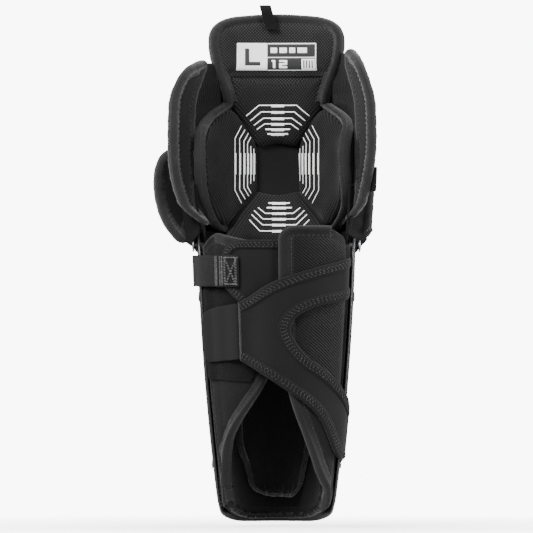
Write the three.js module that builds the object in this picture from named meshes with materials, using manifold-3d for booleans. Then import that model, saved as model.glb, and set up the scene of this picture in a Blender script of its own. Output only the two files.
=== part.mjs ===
// A youth ice hockey shin guard for the left leg, worn open to the back.
// Millimetres. +Z runs up the leg, +Y points forward out of the shin, and +X is the wearer's right,
// which is the inner side. The origin is on the leg's axis, level with the lowest point of the shin shell.
//
// Nearly every piece is a curved panel, laid out round the leg by three numbers: an angle in degrees
// (0 at the front, 90 on the inner side, 180 at the back, 270 on the outer side), a height, and a
// distance out from the lining's surface.
import * as THREE from "three";
import { mergeVertices } from "three/addons/utils/BufferGeometryUtils.js";
import Module from "manifold-3d";

const wasm = await Module();
wasm.setup();

// ---- Driving dimensions -------------------------------------------------------------------------
const SHIN_TOP = 255; // the knee section starts here
const KNEE_BULGE_TOP = 405;
const SHELL_GAP = 11; // lining surface to the hard shell's inner face
const SHELL_WALL = 2.5;
const FOAM = 10; // thickness of the foam under the shells
const LINER_IN = -9; // the removable liner's inner face
const LINER_OUT = -3;
const PAD_IN = -13; // the knee pads' crowns
const PAD_OUT = -2;
const KNEE_SHELL_SKIRT = 16.5; // the knee shell's lower skirt clears the shin shell by 3 mm in front
const KNEE_SKIRT_SIDE = 14.9; // and by 1 mm at its sides, which slide past the shin shell's
const WING_ROOT = 105.5; // the calf wings and the wrap start just behind the shin shell's rear edge
const PIVOT = { y: 5, z: 245, pin: 3, hole: 3.5 }; // the knee's side rivets

// ---- Small helpers ------------------------------------------------------------------------------
const rad = THREE.MathUtils.degToRad;
const mix = THREE.MathUtils.lerp;
const clamp = THREE.MathUtils.clamp;
const smooth = (from, to, v) => THREE.MathUtils.smoothstep(v, from, to);

// A value read off a list of [at, value] points, straight between them.
function along(points) {
  return (at) => {
    if (at <= points[0][0]) return points[0][1];
    for (let i = 1; i < points.length; i++) {
      const [a, va] = points[i - 1];
      const [b, vb] = points[i];
      if (at <= b) return mix(va, vb, (at - a) / (b - a));
    }
    return points[points.length - 1][1];
  };
}

const mirrored = (edge) => (z) => -edge(z);

// ---- The leg's surface --------------------------------------------------------------------------
function kneeBulge(z) {
  if (z < SHIN_TOP) return 0;
  return Math.sin((Math.PI * (z - SHIN_TOP)) / (KNEE_BULGE_TOP - SHIN_TOP));
}
const halfWidth = (z) => {
  const low = Math.min(z, SHIN_TOP);
  return 36.5 + 0.136 * low - 0.00022 * low * low + 4 * kneeBulge(z);
};
const frontDepth = (z) => 44 + Math.min(z, SHIN_TOP) / 64 + 12 * kneeBulge(z);
const backDepth = (z) => 32 + Math.min(z, SHIN_TOP) / 20;

// The point at an angle round the leg, a height, and a distance out from the lining's surface.
function onLeg(angle, z, out) {
  const depth = Math.cos(rad(angle)) > 0 ? frontDepth(z) : backDepth(z);
  return new THREE.Vector3(
    (halfWidth(z) + out) * Math.sin(rad(angle)),
    (depth + out) * Math.cos(rad(angle)),
    z,
  );
}

// The angle at which a piece behind the leg is seen at x from straight behind.
const rearAngle = (x, z, out) => 180 - THREE.MathUtils.radToDeg(Math.asin(x / (halfWidth(z) + out)));
const rearEdge = (points, out) => along(points.map(([z, x]) => [z, rearAngle(x, z, out)]));

// ---- Building closed panels ---------------------------------------------------------------------
// A box with one segment through its thickness, bent between a left and a right edge as it goes up.
function panel({ bottom, top, left, right, inner, outer, place = onLeg, columns = 12, rows = 12 }) {
  const box = new THREE.BoxGeometry(1, 1, 1, columns, rows, 1);
  const at = box.getAttribute("position");
  for (let i = 0; i < at.count; i++) {
    const v = 0.5 - 0.5 * Math.cos(Math.PI * (at.getY(i) + 0.5));
    const z = mix(bottom, top, v);
    const across = mix(left(z), right(z), at.getX(i) + 0.5);
    const from = typeof inner === "function" ? inner(across, z) : inner;
    const to = typeof outer === "function" ? outer(across, z) : outer;
    const p = place(across, z, at.getZ(i) < 0 ? from : to);
    at.setXYZ(i, p.x, p.y, p.z);
  }
  return closed(box);
}

// The same for a strip that runs round the leg, with its lower and upper edges given by the angle.
function strip({ from, to, lower, upper, inner, outer, columns = 12, rows = 4 }) {
  const box = new THREE.BoxGeometry(1, 1, 1, columns, rows, 1);
  const at = box.getAttribute("position");
  for (let i = 0; i < at.count; i++) {
    const angle = mix(from, to, at.getX(i) + 0.5);
    const z = mix(lower(angle), upper(angle), at.getY(i) + 0.5);
    const p = onLeg(angle, z, at.getZ(i) < 0 ? inner(angle) : outer(angle));
    at.setXYZ(i, p.x, p.y, p.z);
  }
  return closed(box);
}

// One closed surface with shared vertices and its faces pointing out.
function closed(geometry) {
  const g = geometry.clone();
  g.deleteAttribute("normal");
  g.deleteAttribute("uv");
  const merged = mergeVertices(g, 1e-3);
  if (signedVolume(merged) < 0) {
    const index = merged.index;
    for (let i = 0; i < index.count; i += 3) {
      const second = index.getX(i + 1);
      index.setX(i + 1, index.getX(i + 2));
      index.setX(i + 2, second);
    }
  }
  return merged;
}

function signedVolume(g) {
  const at = g.getAttribute("position");
  const corner = (i) => new THREE.Vector3().fromBufferAttribute(at, g.index.getX(i));
  let six = 0;
  for (let i = 0; i < g.index.count; i += 3) six += corner(i).dot(corner(i + 1).cross(corner(i + 2)));
  return six / 6;
}

function toSolid(geometry) {
  const g = closed(geometry);
  return new wasm.Manifold(
    new wasm.Mesh({
      numProp: 3,
      vertProperties: g.getAttribute("position").array,
      triVerts: new Uint32Array(g.index.array),
    }),
  );
}

function fromSolid(solid) {
  const mesh = solid.getMesh();
  const points = new Float32Array(mesh.numVert * 3);
  for (let i = 0; i < mesh.numVert; i++)
    points.set(mesh.vertProperties.subarray(i * mesh.numProp, i * mesh.numProp + 3), i * 3);
  return new THREE.BufferGeometry()
    .setAttribute("position", new THREE.BufferAttribute(points, 3))
    .setIndex(new THREE.BufferAttribute(mesh.triVerts, 1));
}

const cut = (geometry, ...tools) =>
  fromSolid(tools.reduce((solid, tool) => solid.subtract(toSolid(tool)), toSolid(geometry)));
const join = (...geometries) => fromSolid(geometries.map(toSolid).reduce((a, b) => a.add(b)));

// Turns a shape made along +Y so that it points outwards from the leg at an angle and height.
function outward(geometry, angle, z, out) {
  const here = onLeg(angle, z, out);
  const ahead = onLeg(angle, z, out + 1);
  const turn = new THREE.Quaternion().setFromUnitVectors(
    new THREE.Vector3(0, 1, 0),
    ahead.clone().sub(here).normalize(),
  );
  return geometry.applyQuaternion(turn).translate(here.x, here.y, here.z);
}

// ---- Materials ----------------------------------------------------------------------------------
const finish = (color, roughness, metalness = 0) =>
  new THREE.MeshStandardMaterial({ color, roughness, metalness });
const shellPlastic = finish(0x17181a, 0.4);
const linerMesh = finish(0x1b1b1c, 0.95);
const foamCloth = finish(0x1f1f20, 0.9);
const neoprene = finish(0x242425, 0.92);
const webbingCloth = finish(0x202021, 0.85);
const loopPile = finish(0x121212, 1);
const rivetMetal = finish(0x55585c, 0.35, 0.9);
const labelPrint = finish(0xe6e7e9, 0.6);

const guard = new THREE.Group();
function add(name, geometry, material) {
  const mesh = new THREE.Mesh(geometry, material);
  mesh.name = name;
  guard.add(mesh);
  return mesh;
}

// ---- Shin section -------------------------------------------------------------------------------
const shinShellEdge = along([
  [0, 42], [3.5, 60], [10, 83], [24, 97], [50, 101], [236, 101], [250, 94], [258, 84],
]);
const spine = (angle, z) => 2.2 * (1 - smooth(9, 16, Math.abs(angle))) * (1 - smooth(215, 234, z));
const bottomLip = (z) => 4 * clamp(1 - z / 14, 0, 1) ** 2;
const shinShell = panel({
  bottom: 0,
  top: 258,
  left: mirrored(shinShellEdge),
  right: shinShellEdge,
  inner: (angle, z) => SHELL_GAP + bottomLip(z),
  outer: (angle, z) => SHELL_GAP + SHELL_WALL + spine(angle, z) + bottomLip(z),
  columns: 26,
  rows: 16,
});

const VENT = { angle: 36, heights: [86, 122, 158], length: 26, width: 7, lean: 24 };
function ventTool(side, z) {
  const half = (VENT.length - VENT.width) / 2;
  const slot = new THREE.Shape();
  slot.absarc(0, half, VENT.width / 2, 0, Math.PI, false);
  slot.absarc(0, -half, VENT.width / 2, Math.PI, 2 * Math.PI, false);
  slot.closePath();
  const tool = new THREE.ExtrudeGeometry(slot, { depth: 16, bevelEnabled: false, curveSegments: 5 });
  tool.translate(0, 0, -8).rotateZ(rad(side * VENT.lean)).rotateX(-Math.PI / 2);
  return outward(tool, side * VENT.angle, z, SHELL_GAP + 1);
}
const vents = [-1, 1].flatMap((side) => VENT.heights.map((z) => ventTool(side, z)));

const RIVET = { angle: 84, heights: [52, 200], shank: 1.8, head: 4.5, hole: 2.4 };
const rivetPlaces = [-1, 1].flatMap((side) => RIVET.heights.map((z) => [side, z]));
const rivetHoles = rivetPlaces.map(([side, z]) =>
  outward(new THREE.CylinderGeometry(RIVET.hole, RIVET.hole, 10, 12), side * RIVET.angle, z, SHELL_GAP + 1),
);

// The knee pivots run along X through both shells.
function pivotCylinder(radius, fromX, toX, sides = 16) {
  const c = new THREE.CylinderGeometry(radius, radius, Math.abs(toX - fromX), sides);
  return c.rotateZ(Math.PI / 2).translate((fromX + toX) / 2, PIVOT.y, PIVOT.z);
}
const pivotHoles = [-1, 1].map((side) => pivotCylinder(PIVOT.hole, side * 50, side * 90));
add("shin_shell", cut(shinShell, ...vents, ...rivetHoles, ...pivotHoles), shellPlastic);

const shinFoamEdge = along([[3, 40], [7, 62], [13, 84], [28, 96], [45, 98], [236, 98]]);
add(
  "shin_foam",
  panel({
    bottom: 3, top: 236, left: mirrored(shinFoamEdge), right: shinFoamEdge,
    inner: 0, outer: FOAM, columns: 24, rows: 10,
  }),
  foamCloth,
);

const linerEdge = along([[22, 36], [32, 46], [50, 56], [70, 62], [200, 62], [222, 54]]);
const linerCurl = (z) => 6 * (1 - smooth(22, 34, z)); // its bottom edge curls in towards the leg
add(
  "shin_liner",
  panel({
    bottom: 22, top: 222, left: mirrored(linerEdge), right: linerEdge,
    inner: (angle, z) => LINER_IN - linerCurl(z), outer: (angle, z) => LINER_OUT - linerCurl(z),
    columns: 14, rows: 12,
  }),
  linerMesh,
);
for (const [name, z] of [["liner_hook_lower", 60], ["liner_hook_upper", 180]])
  add(
    name,
    panel({
      bottom: z, top: z + 25, left: () => -24, right: () => 24,
      inner: -2.4, outer: -0.7, columns: 8, rows: 2,
    }),
    loopPile,
  );

// A rivet turned from [radius, height] points, standing out from the leg.
function turned(profile, angle, z, out) {
  const body = new THREE.LatheGeometry(profile.map(([r, y]) => new THREE.Vector2(r, y)), 12);
  return closed(outward(body, angle, z, out));
}
rivetPlaces.forEach(([side, z]) => {
  const profile = [[0, -3], [RIVET.shank, -3], [RIVET.shank, 0], [RIVET.head, 0], [3.4, 1.2], [0, 1.6]];
  const name = `shell_rivet_${side < 0 ? "outer" : "inner"}_${z < 100 ? "lower" : "upper"}`;
  add(name, turned(profile, side * RIVET.angle, z, SHELL_GAP + SHELL_WALL + 0.5), rivetMetal);
});

// ---- Knee section -------------------------------------------------------------------------------
const kneeShellEdge = along([
  [236, 66], [241, 82], [250, 87], [258, 84], [266, 62],
  [274, 55], [350, 56], [375, 50], [388, 38], [394, 24],
]);
const kneeSkirt = (angle) => mix(KNEE_SHELL_SKIRT, KNEE_SKIRT_SIDE, smooth(58, 78, Math.abs(angle)));
const kneeShellIn = (angle, z) => mix(kneeSkirt(angle), SHELL_GAP, smooth(262, 288, z));
function kneeCrown(angle, z) {
  const across = 1 - smooth(26, 34, Math.abs(angle));
  return 0.2 + 2 * across * smooth(284, 296, z) * (1 - smooth(362, 378, z));
}
const kneeShell = panel({
  bottom: 236,
  top: 394,
  left: mirrored(kneeShellEdge),
  right: kneeShellEdge,
  inner: kneeShellIn,
  outer: (angle, z) => kneeShellIn(angle, z) + SHELL_WALL + kneeCrown(angle, z),
  columns: 22,
  rows: 16,
});
const kneePinHoles = [-1, 1].map((side) => pivotCylinder(PIVOT.pin + 0.3, side * 50, side * 90));
add("knee_shell", cut(kneeShell, ...kneePinHoles), shellPlastic);
for (const [name, side] of [["knee_rivet_outer", -1], ["knee_rivet_inner", 1]])
  add(
    name,
    join(pivotCylinder(PIVOT.pin, side * 67.4, side * 76.6), pivotCylinder(5.5, side * 75.3, side * 77.2)),
    rivetMetal,
  );

// The knee bucket: foam round the front and sides of the knee, open at the back. Its sides splay a little.
const splay = (angle) => (angle < 0 ? -6 * smooth(75, 115, -angle) : -5 * smooth(75, 115, angle));
const onKnee = (angle, z, out) => onLeg(angle, z, out).add(new THREE.Vector3(splay(angle), 0, 0));
const bucketEdge = along([
  [262, 62], [272, 76], [284, 88], [300, 98], [320, 104], [340, 100], [352, 89], [362, 72], [369, 56],
  [376, 44], [391, 42],
]);
add(
  "knee_foam",
  panel({
    bottom: 262, top: 391, left: mirrored(bucketEdge), right: bucketEdge,
    inner: 0, outer: FOAM - 0.5, place: onKnee, columns: 24, rows: 14,
  }),
  foamCloth,
);

const pad = (name, bottom, top, left, right) =>
  add(
    name,
    panel({ bottom, top, left, right, inner: PAD_IN, outer: PAD_OUT, place: onKnee, columns: 10, rows: 8 }),
    linerMesh,
  );
const padTopEdge = along([[334, 17], [346, 30], [369, 46], [384, 50], [390, 42]]);
pad("knee_pad_top", 334, 390, mirrored(padTopEdge), padTopEdge);
const padLowEdge = along([[240, 62], [262, 52], [289, 18]]);
pad("knee_pad_bottom", 240, 289, mirrored(padLowEdge), padLowEdge);
const sidePadInner = along([[268, 50], [294, 20], [330, 20], [345, 34], [367, 50]]);
const sidePadOuter = along([[268, 64], [285, 84], [320, 99], [344, 92], [358, 74], [367, 57]]);
pad("knee_pad_outer", 268, 367, mirrored(sidePadOuter), mirrored(sidePadInner));
pad("knee_pad_inner", 268, 367, sidePadInner, sidePadOuter);

// ---- Thigh flap ---------------------------------------------------------------------------------
const FLAP = { bend: 90, bottom: 393.5, top: 450.5, thick: 12 };
const flapFace = (z) => 38 - 6 * smooth(FLAP.bottom, FLAP.top, z); // the flap leans back as it rises
function onFlap(across, z, out) {
  const turn = across / FLAP.bend;
  const radius = FLAP.bend + out;
  return new THREE.Vector3(radius * Math.sin(turn), flapFace(z) - FLAP.bend + radius * Math.cos(turn), z);
}
const flapEdge = along([[393.5, 50], [404, 57], [418, 61], [430, 60], [441, 52], [447, 38], [450.5, 18]]);
add(
  "thigh_flap",
  panel({
    bottom: FLAP.bottom, top: FLAP.top, left: mirrored(flapEdge), right: flapEdge,
    inner: 0, outer: FLAP.thick, place: onFlap, columns: 16, rows: 8,
  }),
  foamCloth,
);
add(
  "size_label",
  panel({
    bottom: 401, top: 425, left: () => -36, right: () => 37,
    inner: -1, outer: -0.4, place: onFlap, columns: 8, rows: 2,
  }),
  labelPrint,
);

// The pull loop: a tape folded double and sewn to the top of the flap. It leans to the outer side.
const LOOP = { x: -9, z: 437, width: 10, lean: 0.29 };
function pullLoop() {
  const side = new THREE.Shape(); // seen along +X: across the shape is +Y, up the shape is +Z
  side.moveTo(-0.2, 0);
  side.lineTo(-0.2, 17);
  side.bezierCurveTo(-0.2, 20.6, -1.4, 22.5, -2.9, 22.5);
  side.bezierCurveTo(-4.6, 22.5, -5.6, 20.4, -5.6, 17.8);
  side.bezierCurveTo(-5.6, 14, -2.6, 9, -2.6, 5);
  side.lineTo(-2.6, 0);
  side.closePath();
  const eye = new THREE.Path();
  eye.moveTo(-1.5, 7);
  eye.lineTo(-1.5, 17);
  eye.bezierCurveTo(-1.5, 19.6, -2.1, 21.2, -2.9, 21.2);
  eye.bezierCurveTo(-3.8, 21.2, -4.3, 19.6, -4.3, 17.8);
  eye.bezierCurveTo(-4.3, 15, -2.2, 11, -1.5, 7);
  side.holes.push(eye);
  const tape = new THREE.ExtrudeGeometry(side, { depth: LOOP.width, bevelEnabled: false, curveSegments: 5 });
  const stand = new THREE.Matrix4().makeBasis(
    new THREE.Vector3(0, 1, 0),
    new THREE.Vector3(-LOOP.lean, 0, 1),
    new THREE.Vector3(1, 0, 0),
  );
  return tape.applyMatrix4(stand).translate(LOOP.x, flapFace(FLAP.top) - 1.8, LOOP.z);
}
add("pull_loop", closed(pullLoop()), webbingCloth);

// ---- Side wings at the knee ---------------------------------------------------------------------
const WING_THICK = 7;

// A wing leaves the knee at a root angle and runs along a heading: 0 is straight back, 90 is sideways.
// It curls as it goes, and its top and bottom are tucked in towards the thigh flap and the calf.
function wingPlace({ side, angle, out, heading, curl, tuck = 0, tuckLow = 0 }) {
  return (reach, z, thick) => {
    const root = onLeg(side * angle, z, out);
    root.x -= side * (tuck * smooth(368, 412, z) + tuckLow * (1 - smooth(258, 284, z)));
    const turn = rad(heading + curl * reach);
    const halfway = rad(heading + (curl * reach) / 2);
    return new THREE.Vector3(
      root.x + side * (Math.sin(halfway) * reach + Math.cos(turn) * thick),
      root.y - Math.cos(halfway) * reach + Math.sin(turn) * thick,
      z,
    );
  };
}
function wing(name, place, free, sewn = [[0, 0]]) {
  const [bottom, top] = [free[0][0], free[free.length - 1][0]];
  add(
    name,
    panel({
      bottom, top, left: along(sewn), right: along(free),
      inner: -WING_THICK / 2, outer: WING_THICK / 2, place, columns: 6, rows: 12,
    }),
    foamCloth,
  );
}
const kneeWingOuter = wingPlace({
  side: -1, angle: 88, out: 14.5, heading: 20, curl: 0.35, tuck: 8, tuckLow: 13,
});
const kneeWingInner = wingPlace({
  side: 1, angle: 88, out: 12.8, heading: 12, curl: 0.25, tuck: 6, tuckLow: 13,
});
const sideWingOuter = wingPlace({ side: -1, angle: 63, out: 15, heading: 44, curl: 0.2 });
const sideWingInner = wingPlace({ side: 1, angle: 63, out: 15, heading: 35, curl: 0.2 });
wing("knee_wing_outer", kneeWingOuter, [
  [264, 10], [272, 20], [284, 30], [304, 39], [330, 42], [372, 42],
  [386, 41], [395, 36], [401, 29], [406, 18], [409, 8],
]);
wing("knee_wing_inner", kneeWingInner, [
  [270, 8], [282, 18], [300, 31], [330, 42], [372, 42],
  [390, 41], [402, 37], [410, 31], [416, 20], [419, 8],
]);
wing(
  "side_wing_outer",
  sideWingOuter,
  [[247, 29], [254, 39], [267, 48], [286, 54], [308, 54], [322, 48], [332, 30]],
  [[247, 24], [262, 22], [272, 9], [282, 0]],
);
wing(
  "side_wing_inner",
  sideWingInner,
  [[253, 27], [260, 29], [300, 28], [316, 22], [324, 12]],
  [[253, 25], [264, 22], [274, 9], [284, 0]],
);
add(
  "side_tab",
  panel({
    bottom: 293, top: 315, left: () => 20, right: () => 33,
    inner: 4.4, outer: 7, place: kneeWingInner, columns: 2, rows: 2,
  }),
  webbingCloth,
);

// ---- Calf wings, from the inside out ------------------------------------------------------------
const outerRoot = 360 - WING_ROOT;
const calfOuterFree = rearEdge(
  [[14, -43], [37, -45], [59, -46], [70, -42], [92, -29], [114, -15], [128, -8], [140, -1], [250, 0]],
  8,
);
const lift = (angle) => 4 * (1 - smooth(WING_ROOT, 121, angle)); // the roots stand out to the shell's edge
const calfOuterRoot = along([[14, outerRoot - 6], [24, outerRoot], [244, outerRoot], [256, outerRoot - 16]]);
add(
  "calf_wing_outer",
  panel({
    bottom: 14, top: 256, left: calfOuterFree, right: calfOuterRoot,
    inner: 1, outer: (angle) => 8 + lift(360 - angle), columns: 12, rows: 18,
  }),
  foamCloth,
);
const patchFree = rearEdge([[125, -20], [150, -14], [208, -14]], 9);
add(
  "loop_patch",
  panel({
    bottom: 125, top: 208, left: patchFree, right: () => outerRoot - 2,
    inner: (angle) => 8.4 + lift(360 - angle), outer: (angle) => 9.3 + lift(360 - angle), columns: 8, rows: 4,
  }),
  loopPile,
);

const STRAP_IN = 10;
const STRAP_OUT = 12.4;
const strapFree = rearEdge([[184, 6], [192, 14], [200, 18], [244, 18]], STRAP_OUT);
const strapLeft = rearEdge(
  [[184, -20], [196, -32], [204, -42], [212, -48], [240, -47], [248, -38]],
  STRAP_OUT,
);
add(
  "strap_panel",
  panel({
    bottom: 184, top: 248, left: strapFree, right: strapLeft,
    inner: STRAP_IN, outer: STRAP_OUT, columns: 8, rows: 8,
  }),
  neoprene,
);
const webbingIn = (angle) => mix(STRAP_OUT + 0.6, 15, smooth(228, 258, angle));
add(
  "strap_webbing",
  strip({
    from: 210, to: 257, lower: () => 209, upper: () => 236,
    inner: webbingIn, outer: (angle) => webbingIn(angle) + 1.6, columns: 6, rows: 1,
  }),
  webbingCloth,
);
const anchorTool = outward(new THREE.CylinderGeometry(2.4, 2.4, 10, 12), -74, 222.5, 15);
add(
  "webbing_anchor",
  cut(
    strip({
      from: 260, to: 293, lower: () => 209, upper: () => 236,
      inner: () => 14.6, outer: () => 16.2, columns: 6, rows: 1,
    }),
    anchorTool,
  ),
  webbingCloth,
);
add(
  "anchor_rivet",
  turned([[0, -1.8], [1.8, -1.8], [1.8, 0], [5.5, 0], [4.4, 1.4], [0, 1.9]], -74, 222.5, 16.7),
  rivetMetal,
);

// The inner calf wing rises over the strap panel as it goes round to the back.
const rise = (angle) => 13 * smooth(WING_ROOT, 132, angle);
const calfInnerFree = rearEdge(
  [[16, 49], [24, 46], [37, 40], [54, 33], [81, 24], [92, 17], [117, 9], [160, 6], [250, 3], [262, 9]],
  20,
);
const calfInnerRoot = along([[16, WING_ROOT + 6], [26, WING_ROOT], [236, WING_ROOT], [262, WING_ROOT + 33]]);
add(
  "calf_wing_inner",
  panel({
    bottom: 16, top: 262, left: calfInnerRoot, right: calfInnerFree,
    inner: (angle) => 1 + rise(angle),
    outer: (angle, z) => 8 + Math.max(rise(angle), lift(angle) * (1 - smooth(38, 50, z))),
    columns: 12, rows: 18,
  }),
  foamCloth,
);

// The calf wrap: one Y of neoprene. Its arms start at the inner side and its stem fastens on the outer side.
const WRAP_THICK = 2.4;
const wrapIn = (angle) => 9.2 + 12.2 * smooth(WING_ROOT, 132, angle) - 7.6 * smooth(178, 204, angle);
const wrapOut = (angle) => wrapIn(angle) + WRAP_THICK;
const FORK = 171.5; // where the two arms part
const STEM_END = 208;
const wrapTop = along([
  [108, 235], [124, 234], [146, 228.6], [161, 224], [174, 218], [184, 212.5], [192, 206], [200, 199.4],
  [STEM_END, 195],
]);
const wrapArmLow = along([
  [108, 201], [124, 198.5], [146, 194], [159, 190], [167, 184.6], [170, 179], [FORK, 172.2],
]);
const wrapArmHigh = along([
  [108, 100], [124, 117], [132, 126.7], [144, 135.6], [156, 143.5], [163, 152.4], [168, 161.3],
  [170.5, 168], [FORK, 172],
]);
const wrapBottom = along([
  [108, 54], [126, 57], [134, 68], [144, 88.6], [156, 103.7], [174, 118.7], [187, 130], [200, 139],
  [STEM_END, 144],
]);
const wrapFaces = { inner: wrapIn, outer: wrapOut };
add(
  "calf_wrap",
  join(
    strip({ from: FORK - 0.5, to: STEM_END, lower: wrapBottom, upper: wrapTop, ...wrapFaces, rows: 6 }),
    strip({ from: 108, to: FORK, lower: wrapArmLow, upper: wrapTop, ...wrapFaces, rows: 2 }),
    strip({ from: 108, to: FORK, lower: wrapBottom, upper: wrapArmHigh, ...wrapFaces, rows: 2 }),
  ),
  neoprene,
);
const tabIn = (angle) => mix(wrapIn(STEM_END), 10.2, smooth(STEM_END, 226, angle)) + lift(360 - angle);
add(
  "hook_tab",
  strip({
    from: STEM_END + 1, to: 253,
    lower: along([[212, 145], [248, 142], [253, 146]]),
    upper: along([[212, 194], [240, 190], [248, 187], [253, 180]]),
    inner: tabIn, outer: (angle) => tabIn(angle) + 1.8, columns: 8, rows: 2,
  }),
  neoprene,
);

export default guard;
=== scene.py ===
# The looks of a youth ice hockey shin guard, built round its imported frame.
# Shapes are worked out in millimetres and turned into metres as each mesh is made.
import math

import bmesh
import bpy
import numpy as np
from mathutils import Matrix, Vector
from mathutils.geometry import delaunay_2d_cdt


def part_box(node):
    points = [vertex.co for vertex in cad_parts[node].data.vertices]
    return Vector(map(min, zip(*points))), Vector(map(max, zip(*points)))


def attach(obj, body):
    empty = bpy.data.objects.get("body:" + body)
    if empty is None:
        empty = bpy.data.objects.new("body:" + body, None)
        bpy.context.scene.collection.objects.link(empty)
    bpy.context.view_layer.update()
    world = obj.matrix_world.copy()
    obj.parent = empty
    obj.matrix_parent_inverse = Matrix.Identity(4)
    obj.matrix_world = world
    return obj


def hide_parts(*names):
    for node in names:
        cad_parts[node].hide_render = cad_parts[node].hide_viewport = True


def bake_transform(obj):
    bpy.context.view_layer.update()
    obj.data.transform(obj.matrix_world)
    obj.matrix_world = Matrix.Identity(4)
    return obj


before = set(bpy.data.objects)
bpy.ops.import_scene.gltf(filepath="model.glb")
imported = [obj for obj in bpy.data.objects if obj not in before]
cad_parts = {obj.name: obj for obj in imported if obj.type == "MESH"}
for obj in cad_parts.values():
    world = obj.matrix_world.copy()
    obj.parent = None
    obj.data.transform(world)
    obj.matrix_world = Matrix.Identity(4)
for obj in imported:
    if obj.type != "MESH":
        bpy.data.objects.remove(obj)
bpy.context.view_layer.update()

MM = 0.001
CLOTH_MAP = "cloth"  # the UV map that every weave follows: one unit is 100 mm of cloth
rng = np.random.default_rng(12)


def span(node):
    """A CAD node's lowest and highest corners in millimetres."""
    low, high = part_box(node)
    return np.array(low) / MM, np.array(high) / MM


# ---- The camera, the light and the floor --------------------------------------------------------
FRAME_WIDTH = 472  # what the picture's width takes in at the guard's distance
LENS = 800
SENSOR = 36


def make_camera():
    low, high = span("shin_shell")
    top = span("pull_loop")[1][2]
    distance = FRAME_WIDTH * LENS / SENSOR
    camera = bpy.data.objects.new("camera", bpy.data.cameras.new("camera"))
    bpy.context.scene.collection.objects.link(camera)
    camera.data.lens = LENS
    camera.data.sensor_width = SENSOR
    camera.location = Vector((-8.9, -distance, low[2] + 0.4935 * (top - low[2]))) * MM
    camera.rotation_euler = (math.radians(90), 0, 0)
    camera.data.clip_end = 300
    bpy.context.scene.camera = camera


def make_light(name, place, aim, size, power, colour=(1, 1, 1)):
    data = bpy.data.lights.new(name, "AREA")
    data.shape = "RECTANGLE"
    data.size, data.size_y = size
    data.energy = power
    data.color = colour
    lamp = bpy.data.objects.new(name, data)
    bpy.context.scene.collection.objects.link(lamp)
    lamp.location = place
    lamp.rotation_euler = (Vector(aim) - Vector(place)).to_track_quat("-Z", "Y").to_euler()
    return lamp


def make_studio():
    """An evenly bright background behind soft lamps: what lights the guard is much dimmer than what shows."""
    world = bpy.data.worlds.new("studio")
    world.use_nodes = True
    tree = world.node_tree
    seen = tree.nodes.new("ShaderNodeLightPath")
    level = tree.nodes.new("ShaderNodeMapRange")
    level.inputs[3].default_value = 0.5
    level.inputs[4].default_value = 9.0
    tree.links.new(seen.outputs["Is Camera Ray"], level.inputs[0])
    background = tree.nodes["Background"]
    background.inputs["Color"].default_value = (1, 1, 1, 1)
    tree.links.new(level.outputs[0], background.inputs["Strength"])
    bpy.context.scene.world = world
    make_light("key", (-0.9, -1.3, 1.5), (0, 0, 0.25), (0.7, 0.7), 88)
    make_light("fill", (1.3, -1.5, 0.6), (0, 0, 0.22), (0.4, 1.2), 40)
    make_light("rim_left", (-1.5, 0.3, 0.8), (0, 0, 0.25), (0.4, 1.4), 34)
    make_light("rim_right", (1.5, 0.3, 0.7), (0, 0, 0.25), (0.4, 1.4), 42)
    bpy.ops.mesh.primitive_circle_add(vertices=96, radius=0.6, fill_type="NGON", location=(0, 0, -0.004))
    floor = bpy.context.object
    floor.name = "floor"
    material = plain("floor_white", (0.9, 0.9, 0.9), 0.9)
    nodes = Nodes(material)
    place = nodes.add("ShaderNodeTexCoord").outputs["Object"]
    away = nodes.add("ShaderNodeVectorMath", {"operation": "LENGTH"}, Vector=place).outputs["Value"]
    nodes.finish(Alpha=nodes.fit(away, 0.08, 0.55, 0.7, 0.0))
    floor.data.materials.append(material)


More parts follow.
